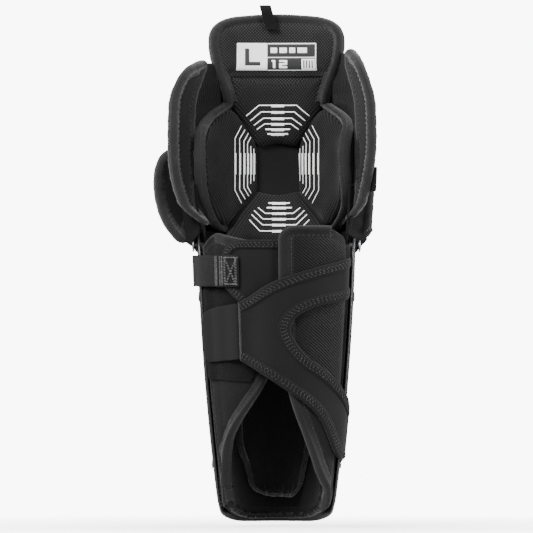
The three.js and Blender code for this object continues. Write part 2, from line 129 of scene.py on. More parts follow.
# ---- Materials ----------------------------------------------------------------------------------
class Nodes:
    """A short way to write a node tree: add() makes a node and links or sets its inputs."""

    def __init__(self, material):
        material.use_nodes = True
        self.tree = material.node_tree
        self.shader = self.tree.nodes["Principled BSDF"]

    def add(self, kind, settings=None, **inputs):
        node = self.tree.nodes.new(kind)
        for key, value in (settings or {}).items():
            setattr(node, key, value)
        for key, value in inputs.items():
            self.put(node.inputs[int(key[1:])] if key[0] == "i" and key[1:].isdigit() else node.inputs[key], value)
        return node

    def put(self, socket, value):
        if isinstance(value, bpy.types.NodeSocket):
            self.tree.links.new(value, socket)
        elif hasattr(socket.default_value, "__len__") and not hasattr(value, "__len__"):
            socket.default_value = [value] * len(socket.default_value)
        else:
            socket.default_value = value

    def math(self, operation, a, b=0.0):
        return self.add("ShaderNodeMath", {"operation": operation}, i0=a, i1=b).outputs[0]

    def cloth(self, scale=(1, 1, 1), turn=0.0):
        """Millimetres along the cloth, scaled and turned."""
        uv = self.add("ShaderNodeUVMap", {"uv_map": CLOTH_MAP}).outputs[0]
        wide = self.add("ShaderNodeVectorMath", {"operation": "SCALE"}, Vector=uv)
        wide.inputs["Scale"].default_value = 100
        mapping = self.add("ShaderNodeMapping", Vector=wide.outputs[0])
        mapping.inputs["Rotation"].default_value = (0, 0, math.radians(turn))
        mapping.inputs["Scale"].default_value = scale
        return mapping.outputs[0]

    def noise(self, vector, scale, detail=2.0, roughness=0.5):
        node = self.add("ShaderNodeTexNoise", Vector=vector, Scale=scale, Detail=detail, Roughness=roughness)
        return node.outputs[0]

    def object_noise(self, scale, detail=2.0):
        place = self.add("ShaderNodeTexCoord").outputs["Object"]
        return self.noise(place, scale, detail)

    def waves(self, vector, period):
        """sin(x) times sin(y): a lattice of bumps one period apart."""
        parts = self.add("ShaderNodeSeparateXYZ", Vector=vector)
        turn = 2 * math.pi / period
        x = self.math("SINE", self.math("MULTIPLY", parts.outputs[0], turn))
        y = self.math("SINE", self.math("MULTIPLY", parts.outputs[1], turn))
        return x, y

    def blend(self, factor, dark, light):
        ramp = self.add("ShaderNodeMix", {"data_type": "RGBA"})
        self.put(ramp.inputs[0], factor)
        self.put(ramp.inputs[6], (*dark, 1))
        self.put(ramp.inputs[7], (*light, 1))
        return ramp.outputs[2]

    def fit(self, value, low, high, to_low=0.0, to_high=1.0):
        return self.add(
            "ShaderNodeMapRange", i0=value, i1=low, i2=high, i3=to_low, i4=to_high
        ).outputs[0]

    def bump(self, height, depth, below=None):
        """depth is in millimetres."""
        node = self.add("ShaderNodeBump", Height=height, Distance=depth * MM, Strength=1.0)
        if below is not None:
            self.put(node.inputs["Normal"], below)
        return node.outputs[0]

    def finish(self, **inputs):
        for key, value in inputs.items():
            self.put(self.shader.inputs[key.replace("_", " ")], value)


def plain(name, colour, roughness, metallic=0.0):
    material = bpy.data.materials.new(name)
    nodes = Nodes(material)
    nodes.finish(Base_Color=(*colour, 1), Roughness=roughness, Metallic=metallic)
    return material


def cloth_finish(nodes, colour, height, depth, rough=(0.7, 0.9), sheen=0.1, low=0.3, high=2.0):
    """The part every cloth shares: worn colour, soft sheen, broad puckers under the weave. The colour is also
    multiplied by the weave's height, from low in its hollows to high on its raised threads: painted shade and painted
    highlight.
    """
    patchy = nodes.object_noise(38, 4)
    worn = nodes.fit(patchy, 0.3, 0.7)
    dark = tuple(c * 0.72 for c in colour)
    light = tuple(c * 1.35 for c in colour)
    base = nodes.blend(worn, dark, light)
    # Painted shade and highlight: the colour is multiplied by the weave's height, darker in its hollows and lighter on
    # its raised threads.
    thread = nodes.add("ShaderNodeMix", {"data_type": "RGBA", "blend_type": "MULTIPLY"})
    nodes.put(thread.inputs[0], 1.0)
    nodes.put(thread.inputs[6], base)
    nodes.put(thread.inputs[7], nodes.blend(height, (low, low, low), (high, high, high)))
    broad = nodes.bump(nodes.object_noise(70, 3), 0.35)
    nodes.finish(
        Base_Color=thread.outputs[2],
        Roughness=nodes.fit(patchy, 0.3, 0.7, *rough),
        Normal=nodes.bump(height, depth, broad),
        Sheen_Weight=sheen,
        Sheen_Roughness=0.45,
    )
    nodes.shader.inputs["Specular IOR Level"].default_value = 0.14


def lattice_cloth(name, colour, period, depth, turn=45, sharp=1.6, sheen=0.22):
    """Warp-knit or spacer mesh: a lattice of raised dots."""
    material = bpy.data.materials.new(name)
    nodes = Nodes(material)
    x, y = nodes.waves(nodes.cloth(turn=turn), period)
    dots = nodes.math("MULTIPLY", nodes.fit(x, -1, 1), nodes.fit(y, -1, 1))
    height = nodes.math("POWER", dots, 1 / sharp)
    # low and high set the painted shade between the dots and the painted highlight on their tops.
    cloth_finish(nodes, colour, height, depth, sheen=sheen, low=0.15, high=3.0)
    return material


def ribbed_cloth(name, colour, period, depth, turn=45, sheen=0.2):
    """Diamond knit: strong ribs one way, crossed by finer ones."""
    material = bpy.data.materials.new(name)
    nodes = Nodes(material)
    x, _ = nodes.waves(nodes.cloth(turn=turn), period)
    fine, _ = nodes.waves(nodes.cloth(turn=-turn - 8), period * 0.8)
    ribs = nodes.fit(x, -0.6, 0.8)
    cross = nodes.fit(fine, -1, 1, 0.55, 1)
    cloth_finish(nodes, colour, nodes.math("MULTIPLY", ribs, cross), depth, sheen=sheen)
    return material


def brushed_cloth(name, colour, depth=0.12, sheen=0.35, scale=1.8, rough=(0.8, 0.98)):
    """Brushed knit or neoprene: a fine nap with faint ribs."""
    material = bpy.data.materials.new(name)
    nodes = Nodes(material)
    nap = nodes.noise(nodes.cloth(scale=(1, 0.6, 1)), scale, 5, 0.65)
    rib, _ = nodes.waves(nodes.cloth(), 0.9)
    height = nodes.math("ADD", nodes.fit(nap, 0.3, 0.7, 0, 0.8), nodes.fit(rib, -1, 1, 0, 0.2))
    cloth_finish(nodes, colour, height, depth, sheen=sheen, rough=rough)
    return material


def webbing_cloth(name, colour, turn=0):
    """Woven tape: warp ridges crossed by weft beads, offset on every other row."""
    material = bpy.data.materials.new(name)
    nodes = Nodes(material)
    x, y = nodes.waves(nodes.cloth(turn=turn), 1.5)
    twill, _ = nodes.waves(nodes.cloth(turn=turn + 38), 1.25)
    weave = nodes.math("MULTIPLY", nodes.fit(x, -1, 0.7), nodes.fit(y, -1, 0.7, 0.3, 1))
    height = nodes.math("ADD", nodes.math("MULTIPLY", weave, 0.6), nodes.fit(twill, -1, 1, 0, 0.4))
    cloth_finish(nodes, colour, height, 0.3, rough=(0.6, 0.8), sheen=0.03)
    return material


def pile_cloth(name, colour):
    """Loop pile: small tangled loops."""
    material = bpy.data.materials.new(name)
    nodes = Nodes(material)
    curls = nodes.add(
        "ShaderNodeTexVoronoi", {"feature": "SMOOTH_F1"}, Vector=nodes.cloth(), Scale=1.1, Smoothness=0.4
    ).outputs[0]
    tangle = nodes.noise(nodes.cloth(), 0.9, 6, 0.7)
    height = nodes.math("ADD", nodes.math("MULTIPLY", curls, 0.5), nodes.fit(tangle, 0.25, 0.75, 0, 0.7))
    # low and high set the painted shade between the loops and the painted highlight on their tops.
    cloth_finish(nodes, colour, height, 0.9, sheen=0.02, rough=(0.9, 1.0), low=0.15, high=3.2)
    return material


def shell_plastic(name):
    """Moulded plastic with a fine grain, soft gloss and light scuffs."""
    material = bpy.data.materials.new(name)
    nodes = Nodes(material)
    place = nodes.add("ShaderNodeTexCoord").outputs["Object"]
    grain = nodes.noise(place, 900, 2)
    streak = nodes.add("ShaderNodeMapping", Vector=place)
    streak.inputs["Scale"].default_value = (240, 240, 24)
    streak.inputs["Rotation"].default_value = (0.3, 0.2, 0.5)
    scuffs = nodes.fit(nodes.noise(streak.outputs[0], 1.0, 6, 0.7), 0.58, 0.72)
    worn = nodes.fit(nodes.noise(place, 22, 4), 0.35, 0.7)
    marks = nodes.math("MULTIPLY", scuffs, worn)
    bevel_light = nodes.add("ShaderNodeNewGeometry").outputs["Pointiness"]
    edge = nodes.fit(bevel_light, 0.515, 0.56)
    colour = nodes.blend(nodes.math("MAXIMUM", nodes.math("MULTIPLY", marks, 0.5), nodes.math("MULTIPLY", edge, 0.35)),
                         (0.0065, 0.0068, 0.0075), (0.05, 0.052, 0.056))
    nodes.finish(
        Base_Color=colour,
        Roughness=nodes.fit(marks, 0, 1, 0.3, 0.6),
        Normal=nodes.bump(grain, 0.05),
    )
    nodes.shader.inputs["Specular IOR Level"].default_value = 0.4
    return material


def steel(name):
    material = bpy.data.materials.new(name)
    nodes = Nodes(material)
    place = nodes.add("ShaderNodeTexCoord").outputs["Object"]
    brushed = nodes.noise(place, 1500, 3)
    dull = nodes.noise(place, 160, 4)
    nodes.finish(
        Base_Color=nodes.blend(nodes.fit(dull, 0.35, 0.7), (0.2, 0.205, 0.21), (0.42, 0.43, 0.44)),
        Roughness=nodes.fit(dull, 0.3, 0.7, 0.26, 0.46),
        Normal=nodes.bump(brushed, 0.02),
        Metallic=1.0,
    )
    return material


def printed(name, colour, wear=0.35):
    """Ink on cloth: a little broken up by the weave below it."""
    material = bpy.data.materials.new(name)
    nodes = Nodes(material)
    x, y = nodes.waves(nodes.cloth(turn=45), 1.3)
    dots = nodes.math("MULTIPLY", nodes.fit(x, -1, 1), nodes.fit(y, -1, 1))
    patchy = nodes.fit(nodes.object_noise(420, 4), 0.35, 0.7, 0, 1)
    darker = tuple(c * (1 - wear) for c in colour)
    nodes.finish(
        Base_Color=nodes.blend(patchy, darker, colour),
        Roughness=nodes.fit(patchy, 0, 1, 0.5, 0.7),
        Normal=nodes.bump(dots, 0.08),
    )
    return material


M = {
    "shell": shell_plastic("shell_plastic"),
    "steel": steel("rivet_steel"),
    "knit": lattice_cloth("thigh_knit", (0.0125, 0.0125, 0.0129), 2.0, 0.5, sheen=0.05),
    "pad": lattice_cloth("pad_knit", (0.0078, 0.0078, 0.0080), 2.3, 0.45, sheen=0.05),
    "twill": lattice_cloth("liner_twill", (0.0038, 0.0038, 0.0039), 1.5, 0.34, turn=35, sheen=0.04),
    "diamond": ribbed_cloth("diamond_knit", (0.0036, 0.0036, 0.0037), 1.9, 0.6, sheen=0.05),
    "binding": brushed_cloth("binding_cloth", (0.0108, 0.0108, 0.0110), 0.3, sheen=0.22),
    "nylon": brushed_cloth("nylon_cloth", (0.0024, 0.0024, 0.0025), 0.16, sheen=0.04),
    "well": brushed_cloth("well_cloth", (0.0046, 0.0046, 0.0047), 0.16, sheen=0.06),
    "neoprene": brushed_cloth("neoprene_knit", (0.0042, 0.0042, 0.0043), 0.08, sheen=0.05, scale=2.6),
    "webbing": webbing_cloth("woven_tape", (0.0018, 0.0018, 0.0019)),
    "pile": pile_cloth("loop_pile", (0.0008, 0.0008, 0.0008)),
    "thread": brushed_cloth("thread", (0.0200, 0.0200, 0.0206), 0.05, sheen=0.05, rough=(0.35, 0.5)),
    "sewing": brushed_cloth("bright_thread", (0.055, 0.055, 0.056), 0.05, sheen=0.05, rough=(0.35, 0.5)),
    "edging": brushed_cloth("edge_binding", (0.0130, 0.0130, 0.0134), 0.22, sheen=0.2),
    "rib": ribbed_cloth("wing_twill", (0.0061, 0.0061, 0.0063), 1.4, 0.4, turn=8, sheen=0.04),
    "satin": brushed_cloth("satin_binding", (0.0028, 0.0028, 0.0029), 0.05, sheen=0.02, rough=(0.35, 0.5)),
    "tape": brushed_cloth("calf_binding", (0.0062, 0.0062, 0.0064), 0.3, sheen=0.1),
    "white": printed("white_print", (0.95, 0.95, 0.95), 0.08),
    "ink": printed("black_print", (0.016, 0.016, 0.017), 0.1),
}


# ---- The leg's surface and the places laid out on it ---------------------------------------------
SHIN_TOP = 255
KNEE_BULGE_TOP = 405


def smooth(start, end, value):
    t = np.clip((np.asarray(value, float) - start) / (end - start), 0, 1)
    return t * t * (3 - 2 * t)


def knee_bulge(z):
    return np.sin(np.pi * (np.clip(z, SHIN_TOP, KNEE_BULGE_TOP) - SHIN_TOP) / (KNEE_BULGE_TOP - SHIN_TOP))


def half_width(z):
    low = np.minimum(z, SHIN_TOP)
    return 36.5 + 0.136 * low - 0.00022 * low * low + 4 * knee_bulge(z)


def leg(angle, z, out):
    """Points at angles round the leg (0 front, 90 inner side), heights, and distances out from the lining."""
    turn = np.radians(angle)
    low = np.minimum(z, SHIN_TOP)
    depth = np.where(np.cos(turn) > 0, 44 + low / 64 + 12 * knee_bulge(z), 32 + low / 20)
    return np.stack([(half_width(z) + out) * np.sin(turn), (depth + out) * np.cos(turn), z + 0 * turn], -1)


def knee(angle, z, out):
    """The leg's surface with the knee bucket's sides splayed a little."""
    at = leg(angle, z, out)
    splay = np.where(np.asarray(angle) < 0, -6, -5) * smooth(75, 115, np.abs(angle))
    at[..., 0] += splay
    return at


FLAP_BEND = 90


def flap(across, z, out):
    """The thigh flap: bent round the thigh, leaning back as it rises."""
    low, high = span("thigh_flap")
    face = 38 - 6 * smooth(low[2], high[2], z)
    turn = np.asarray(across, float) / FLAP_BEND
    radius = FLAP_BEND + out
    return np.stack([radius * np.sin(turn), face - FLAP_BEND + radius * np.cos(turn), z + 0 * turn], -1)


def wing_place(side, angle, out, heading, curl, tuck=0, tuck_low=0):
    """A wing runs from its root on the knee along a heading, 0 straight back and 90 sideways."""

    def place(reach, z, thick):
        root = leg(side * angle + 0 * z, z, out + 0 * z)
        turn = np.radians(heading + curl * reach)
        halfway = np.radians(heading + curl * reach / 2)
        x = root[..., 0] - side * (tuck * smooth(368, 412, z) + tuck_low * (1 - smooth(258, 284, z)))
        x = x + side * (np.sin(halfway) * reach + np.cos(turn) * thick)
        y = root[..., 1] - np.cos(halfway) * reach + np.sin(turn) * thick
        return np.stack([x, y, z + 0 * x], -1)

    return place


def rear_angle(x, z, out):
    """The angle at which a piece behind the leg is seen at x from straight behind."""
    return 180 - np.degrees(np.arcsin(x / (half_width(z) + out)))


def rear(out, *corners):
    """Corners given by how they look from behind, (x, z, reach), as corners laid out round the leg."""
    return [(float(rear_angle(x, z, out)), z, r) for x, z, r in corners]


# ---- Outlines laid out flat -----------------------------------------------------------------------
def resample(points, step, closed=True):
    points = np.asarray(points, float)
    if closed:
        points = np.vstack([points, points[:1]])
    long = np.linalg.norm(np.diff(points, axis=0), axis=1)
    points = points[np.r_[True, long > 1e-6]]
    run = np.r_[0, np.cumsum(np.linalg.norm(np.diff(points, axis=0), axis=1))]
    count = max(6, int(round(run[-1] / step)))
    at = np.linspace(0, run[-1], count + 1)
    if closed:
        at = at[:-1]
    return np.stack([np.interp(at, run, points[:, k]) for k in range(points.shape[1])], 1)


def rounded(corners, closed=True):
    """A line through corners (across, up, reach), each rounded off from reach before it to reach after."""
    count = len(corners)
    line = []
    for i, corner in enumerate(corners):
        here = np.array(corner[:2], float)
        if not closed and i in (0, count - 1):
            line.append(here[None])
            continue
        ends = []
        for other in (corners[i - 1], corners[(i + 1) % count]):
            away = np.array(other[:2], float) - here
            long = np.linalg.norm(away)
            ends.append(here + away * min(corner[2], 0.5 * long) / long)
        t = np.linspace(0, 1, 10)[:, None]
        line.append((1 - t) ** 2 * ends[0] + 2 * t * (1 - t) * here + t**2 * ends[1])
    return np.vstack(line)


def outline(*corners, step=1.6):
    """A closed outline with rounded corners, anticlockwise, its points about a step apart."""
    loop = resample(rounded(corners), step)
    x, z = loop.T
    area = np.sum(x * np.roll(z, -1) - np.roll(x, -1) * z)
    return loop if area > 0 else loop[::-1].copy()


def inward(line, closed=True):
    """Unit normals to the left of a line: into an anticlockwise outline."""
    along = np.roll(line, -1, 0) - np.roll(line, 1, 0) if closed else np.gradient(line, axis=0)
    along = along / np.maximum(np.linalg.norm(along, axis=1, keepdims=True), 1e-9)
    return np.stack([-along[:, 1], along[:, 0]], 1)


def distance(points, loops):
    """How far each point is from the nearest outline."""
    best = np.full(len(points), 1e9)
    for loop in loops:
        ab = np.roll(loop, -1, 0) - loop
        square = np.maximum((ab * ab).sum(1), 1e-12)
        for first in range(0, len(points), 2000):
            p = points[first : first + 2000, None, :]
            t = np.clip(((p - loop) * ab).sum(-1) / square, 0, 1)
            gap = np.linalg.norm(p - (loop + t[..., None] * ab), axis=-1).min(1)
            best[first : first + 2000] = np.minimum(best[first : first + 2000], gap)
    return best


def inside(points, loop):
    x, z = points[:, 0, None], points[:, 1, None]
    ax, az = loop.T
    bx, bz = np.roll(loop, -1, 0).T
    crosses = (az > z) != (bz > z)
    at = ax + (z - az) * (bx - ax) / np.where(bz == az, 1e-9, bz - az)
    return (crosses & (x < at)).sum(1) % 2 == 1


def fill(loops, step, rings):
    """Points and triangles filling an outline with holes. The first points are the outlines' own."""
    border = np.vstack(loops)
    low, high = loops[0].min(0), loops[0].max(0)
    rows = np.arange(low[1], high[1], step * 0.866)
    grid = np.vstack(
        [
            np.stack([x := np.arange(low[0] + (i % 2) * step / 2, high[0], step), np.full(len(x), z)], 1)
            for i, z in enumerate(rows)
        ]
    )

    def within(points, gap):
        keep = inside(points, loops[0])
        for hole in loops[1:]:
            keep &= ~inside(points, hole)
        return points[keep & (distance(points, loops) > gap)]

    inner = [within(grid, rings[-1] + 0.6 * step)]
    for loop in loops:
        for ring in rings:
            inner.append(within(loop + inward(loop) * ring, 0.93 * ring))
    coords = np.vstack([border, *inner])
    edges, start = [], 0
    for loop in loops:
        n = len(loop)
        edges += [(start + i, start + (i + 1) % n) for i in range(n)]
        start += n
    made = delaunay_2d_cdt([Vector(c) for c in coords], edges, [], 0, 1e-7)
    points = np.array([tuple(v) for v in made[0]])
    triangles = np.array([f for f in made[2] if len(f) == 3])
    middle = points[triangles].mean(1)
    keep = inside(middle, loops[0])
    for hole in loops[1:]:
        keep &= ~inside(middle, hole)
    return points, triangles[keep]


# ---- Meshes ---------------------------------------------------------------------------------------
def as_array(value, *arguments):
    return value(*arguments) if callable(value) else np.full(len(arguments[0]), float(value))


def lone(faces):
    """Faces that share their corners with no other: a corner folded flat on itself is dropped."""
    corners = [frozenset(int(i) for i in f) for f in faces]
    times = {}
    for key in corners:
        times[key] = times.get(key, 0) + 1
    return [f for f, key in zip(faces, corners) if times[key] == 1 and len(key) == len(f)]


def make_mesh(name, points, faces, uv, material, closed=True):
    faces = lone(faces)
    mesh = bpy.data.meshes.new(name)
    mesh.from_pydata((np.asarray(points) * MM).tolist(), [], [tuple(int(i) for i in f) for f in faces])
    layer = mesh.uv_layers.new(name=CLOTH_MAP)
    corner = np.zeros(len(mesh.loops), np.int32)
    mesh.loops.foreach_get("vertex_index", corner)
    layer.data.foreach_set("uv", (np.asarray(uv) / 100)[corner].astype(np.float32).ravel())
    if closed:
        work = bmesh.new()
        work.from_mesh(mesh)
        spare = [v for v in work.verts if not v.link_faces]
        bmesh.ops.delete(work, geom=spare, context="VERTS")
        bmesh.ops.recalc_face_normals(work, faces=work.faces)
        work.to_mesh(mesh)
        work.free()
    mesh.polygons.foreach_set("use_smooth", [True] * len(mesh.polygons))
    mesh.materials.append(material)
    piece = bpy.data.objects.new(name, mesh)
    bpy.context.scene.collection.objects.link(piece)
    return piece


def patch(name, loop, place, inner, outer, material, holes=(), step=2.4, edge=1.0):
    """A closed panel. inner and outer are its faces' distances out, numbers or functions of
    (across, up, distance from the outline). Its rim is rounded over the last `edge` millimetres."""
    loops = [loop, *[h[::-1] if area_of(h) > 0 else h for h in holes]]
    points, triangles = fill(loops, step, [edge * share for share in (0.12, 0.45, 1.0)])
    gap = distance(points, loops)
    a, z = points.T
    low, high = as_array(inner, a, z, gap), as_array(outer, a, z, gap)
    middle, half = (low + high) / 2, (high - low) / 2
    half = half * np.sqrt(1 - (1 - np.clip(gap / edge, 0, 1)) ** 2)
    rim = gap < 1e-4
    top = place(a, z, middle + half)
    bottom = place(a, z, middle - half)
    other = np.arange(len(points))
    other[~rim] = len(points) + np.arange((~rim).sum())
    faces = np.vstack([triangles, other[triangles][:, ::-1]])
    keep = [len(set(f)) == 3 for f in faces]
    piece = make_mesh(
        name, np.vstack([top, bottom[~rim]]), faces[keep], np.vstack([points, points[~rim]]), material
    )
    return piece


def area_of(loop):
    x, z = loop.T
    return np.sum(x * np.roll(z, -1) - np.roll(x, -1) * z) / 2


def sweep(name, line, place, middle, profile, material, closed=True, pucker=0.0, wrinkle=9.0):
    """A strip along a line: profile points (inward, out) round the line, out from `middle`."""
    normal = inward(line, closed)
    profile = np.asarray(profile, float)
    run = np.r_[0, np.cumsum(np.linalg.norm(np.diff(line, axis=0), axis=1))]
    girth = np.r_[0, np.cumsum(np.linalg.norm(np.diff(profile, axis=0), axis=1))]
    count, around = len(line), len(profile)
    rings = []
    wobble = gathers(run, closed, wrinkle) * pucker if pucker else np.zeros(count)
    for j, (x, y) in enumerate(profile):
        crease = wobble * (0.6 + 0.4 * math.cos(j * 1.7))
        at = line + normal * (x - crease * 0.4)[:, None] if pucker else line + normal * x
        base = as_array(middle, at[:, 0], at[:, 1])
        rings.append(place(at[:, 0], at[:, 1], base + y * (1 + 0.22 * wobble)))
    points = np.stack(rings, 1).reshape(-1, 3)
    uv = np.stack(
        [np.repeat(run, around), np.tile(girth, count)], 1
    )
    faces = []
    for i in range(count if closed else count - 1):
        for j in range(around):
            k = (j + 1) % around
            m = (i + 1) % count
            faces.append((i * around + j, m * around + j, m * around + k, i * around + k))
    if not closed:
        faces.append(tuple(range(around)))
        faces.append(tuple((count - 1) * around + j for j in range(around - 1, -1, -1)))
    return make_mesh(name, points, faces, uv, material)


def gathers(run, closed, wrinkle):
    """Uneven puckers along a sewn edge, between -1 and 1."""
    total = run[-1] if len(run) else 1
    value = np.zeros(len(run))
    for octave, weight in ((1, 0.5), (2.3, 0.3), (4.1, 0.2)):
        turns = max(1, round(total * octave / wrinkle / 2.2))
        value += weight * np.sin(2 * np.pi * turns * run / total + rng.uniform(0, 6.28))
    return value


def roll(width, height, base, flange=2.2, sides=9):
    """A folded binding's section: a full roll over the edge, then a flat flange sewn to the panel.
    base is half the panel's thickness there."""
    wide = width - flange
    rise = max(height / 2, base + 0.7)
    last = math.pi - math.asin(min(0.98, (base + 0.45) / rise))
    turn = np.linspace(0, last, sides)
    top = [(wide / 2 * (1 - math.cos(t)), rise * math.sin(t)) for t in turn]
    top += [(width - 0.3, base + 0.42), (width, base + 0.15), (width, base - 0.4)]
    return top + [(x, -y) for x, y in reversed(top[1:])]


def tape(width, thick):
    """A thin strip's section, centred on its line."""
    x, y = width / 2, thick / 2
    return [(-x, 0), (-x + y, y), (x - y, y), (x, 0), (x - y, -y), (-x + y, -y)]


def stitches(name, rows, material, long=2.3, gap=1.1, wide=0.62, high=0.5):
    """Rows of thread. A row is (line, place, height, closed) or has a slant as its fifth value."""
    points, faces, uv = [], [], []
    for row in rows:
        line, place, height, closed = row[:4]
        slant = row[4] if len(row) > 4 else 0.0
        pitch = long + gap if not slant else gap * 2
        spots = resample(line, pitch, closed)
        along = np.roll(spots, -1, 0) - spots if closed else np.gradient(spots, axis=0)
        along = along / np.maximum(np.linalg.norm(along, axis=1, keepdims=True), 1e-9)
        across = np.stack([-along[:, 1], along[:, 0]], 1)
        for spot, forward, sideways in zip(spots, along, across):
            heading = forward if not slant else sideways * 0.92 + forward * 0.38
            reach = long if not slant else slant
            ends = np.array([spot - heading * reach / 2, spot, spot + heading * reach / 2])
            level = as_array(height, ends[:, 0], ends[:, 1])
            base = place(ends[:, 0], ends[:, 1], level)
            up = place(ends[:1, 0], ends[:1, 1], level[:1] + 1)[0] - base[0]
            capsule(points, faces, base, up, wide / 2, high)
            uv += [(spot[0], spot[1])] * (len(points) - len(uv))
    return make_mesh(name, np.array(points), faces, np.array(uv), material)


def capsule(points, faces, base, up, half, high):
    """One stitch: a short thread that dips into the cloth at both ends."""
    first = len(points)
    forward = base[2] - base[0]
    long = np.linalg.norm(forward)
    forward = forward / max(long, 1e-9)
    up = up - forward * up.dot(forward)
    up = up / max(np.linalg.norm(up), 1e-9)
    side = np.cross(forward, up)
    for share, size, lift in ((0.0, 0.45, -0.35), (0.2, 0.95, 0.25), (0.5, 1.0, 0.5), (0.8, 0.95, 0.25), (1.0, 0.45, -0.35)):
        centre = base[0] + (base[2] - base[0]) * share + up * (lift * high)
        for k in range(6):
            turn = k * math.pi / 3
            points.append(centre + (side * math.cos(turn) + up * math.sin(turn)) * half * size)
    for ring in range(4):
        for k in range(6):
            a, b = first + ring * 6 + k, first + ring * 6 + (k + 1) % 6
            faces.append((a, b, b + 6, a + 6))
    faces.append(tuple(first + k for k in range(5, -1, -1)))
    faces.append(tuple(first + 24 + k for k in range(6)))


def declare(piece, body, slot, *nodes, pad=None):
    """Attaches the piece to the body it rides on and hides the CAD nodes it stands for. Its material slot and its
    filling are not used.
    """
    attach(piece, body)
    if nodes:
        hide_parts(*nodes)
    return piece


def join(name, pieces):
    """Joins pieces of one material into one."""
    for other in bpy.context.selected_objects:
        other.select_set(False)
    for piece in pieces:
        piece.select_set(True)
    bpy.context.view_layer.objects.active = pieces[0]
    bpy.ops.object.join()
    pieces[0].name = name
    pieces[0].data.name = name
    return pieces[0]


def inset(loop, depth):
    """The outline moved in by a distance, without the points that corners would fold over."""
    moved = loop + inward(loop) * depth
    return moved[distance(moved, [loop]) > 0.97 * abs(depth)]


def pillow(gap, reach):
    """From 0 at the outline to 1 a reach inside it, round at the rim."""
    return np.sqrt(1 - (1 - np.clip(gap / reach, 0, 1)) ** 2)


def both(*right, step=1.6):
    """A closed outline from its right half, given bottom to top."""
    return outline(*right, *[(-x, z, r) for x, z, r in reversed(right) if x], step=step)


def band(value, low, high, soft):
    return smooth(low - soft, low, value) - smooth(high, high + soft, value)


def slot_outline(angle, z, long, wide, lean):
    """A slot's outline, its top leaning outwards by an angle in degrees."""
    turn = math.radians(lean) * math.copysign(1, angle)
    up = np.array([math.sin(turn), math.cos(turn)])
    side = np.array([up[1], -up[0]])
    arc = np.radians(np.linspace(0, 180, 13))
    half = (long - wide) / 2
    points = [side * wide / 2 * math.cos(t) + up * (half + wide / 2 * math.sin(t)) for t in arc]
    points += [-p for p in points]
    return resample(np.array(points) + (angle, z), 1.3)


def circle(angle, z, radius, count=20):
    turn = np.linspace(0, 2 * np.pi, count, endpoint=False)
    return np.stack([angle + radius * np.cos(turn), z + radius * np.sin(turn)], 1)


def turned(name, profile, origin, axis, material, sides=40):
    """A rivet: [radius, height] points turned round an axis."""
    axis = np.array(axis, float) / np.linalg.norm(axis)
    side = np.cross(axis, (0, 0, 1.0))
    side = side / np.linalg.norm(side)
    other = np.cross(axis, side)
    points, uv, faces = [], [], []
    for radius, height in profile:
        for k in range(sides):
            t = 2 * math.pi * k / sides
            points.append(origin + axis * height + (side * math.cos(t) + other * math.sin(t)) * radius)
            uv.append((t * radius, height))
    rows = len(profile)
    for i in range(rows - 1):
        for k in range(sides):
            m = (k + 1) % sides
            faces.append((i * sides + k, i * sides + m, (i + 1) * sides + m, (i + 1) * sides + k))
    faces.append(tuple(range(sides)))
    faces.append(tuple((rows - 1) * sides + k for k in range(sides)))
    return make_mesh(name, np.array(points), faces, np.array(uv), material)


def dome(radius, height, shank, depth):
    """A rivet's profile: its shank, the flat under its head, then a rolled edge and a dished top."""
    edge = [(radius * math.cos(t) * 0.16 + radius * 0.84, height * 0.35 + height * 0.35 * math.sin(t))
            for t in np.linspace(-1.2, 1.5, 7)]
    cap = [(radius * 0.8 * (1 - s), height * (0.72 + 0.28 * math.sin(s * math.pi / 2))) for s in np.linspace(0.05, 0.96, 7)]
    return [(shank, -depth), (shank, 0), (radius * 0.9, 0.02), *edge, *cap]


# ---- Shin section ---------------------------------------------------------------------------------
SHELL_IN = 11
WALL = 2.5
RIVET_ANGLE = 84
RIVET_HEIGHTS = (52, 200)
VENT_ANGLE = 36
VENT_HEIGHTS = (86, 122, 158)


def bottom_lip(z):
    return 4 * np.clip(1 - z / 14, 0, 1) ** 2


def shin_relief(a, z):
    """What stands out from the shin shell: a spine, two ribs each side, and recessed side panels."""
    side = np.abs(a)
    relief = 2.2 * (1 - smooth(9, 16, side)) * (1 - smooth(215, 234, z))
    relief = relief - 0.5 * (1 - smooth(4, 6, side)) * band(z, 30, 205, 6)
    relief = relief + 0.9 * band(side, 22 + z * 0.012, 23.5 + z * 0.012, 1.8) * band(z, 46, 200, 10)
    relief = relief + 0.9 * band(side, 51, 53, 2.2) * band(z, 34, 208, 12)
    panel = band(side, 58, 78, 1.8) * band(z, 72, 184, 3)
    grooves = 0.5 - 0.5 * np.cos(2 * np.pi * (z - 72) / 12.4)
    return relief - panel * (0.55 + 0.3 * grooves)


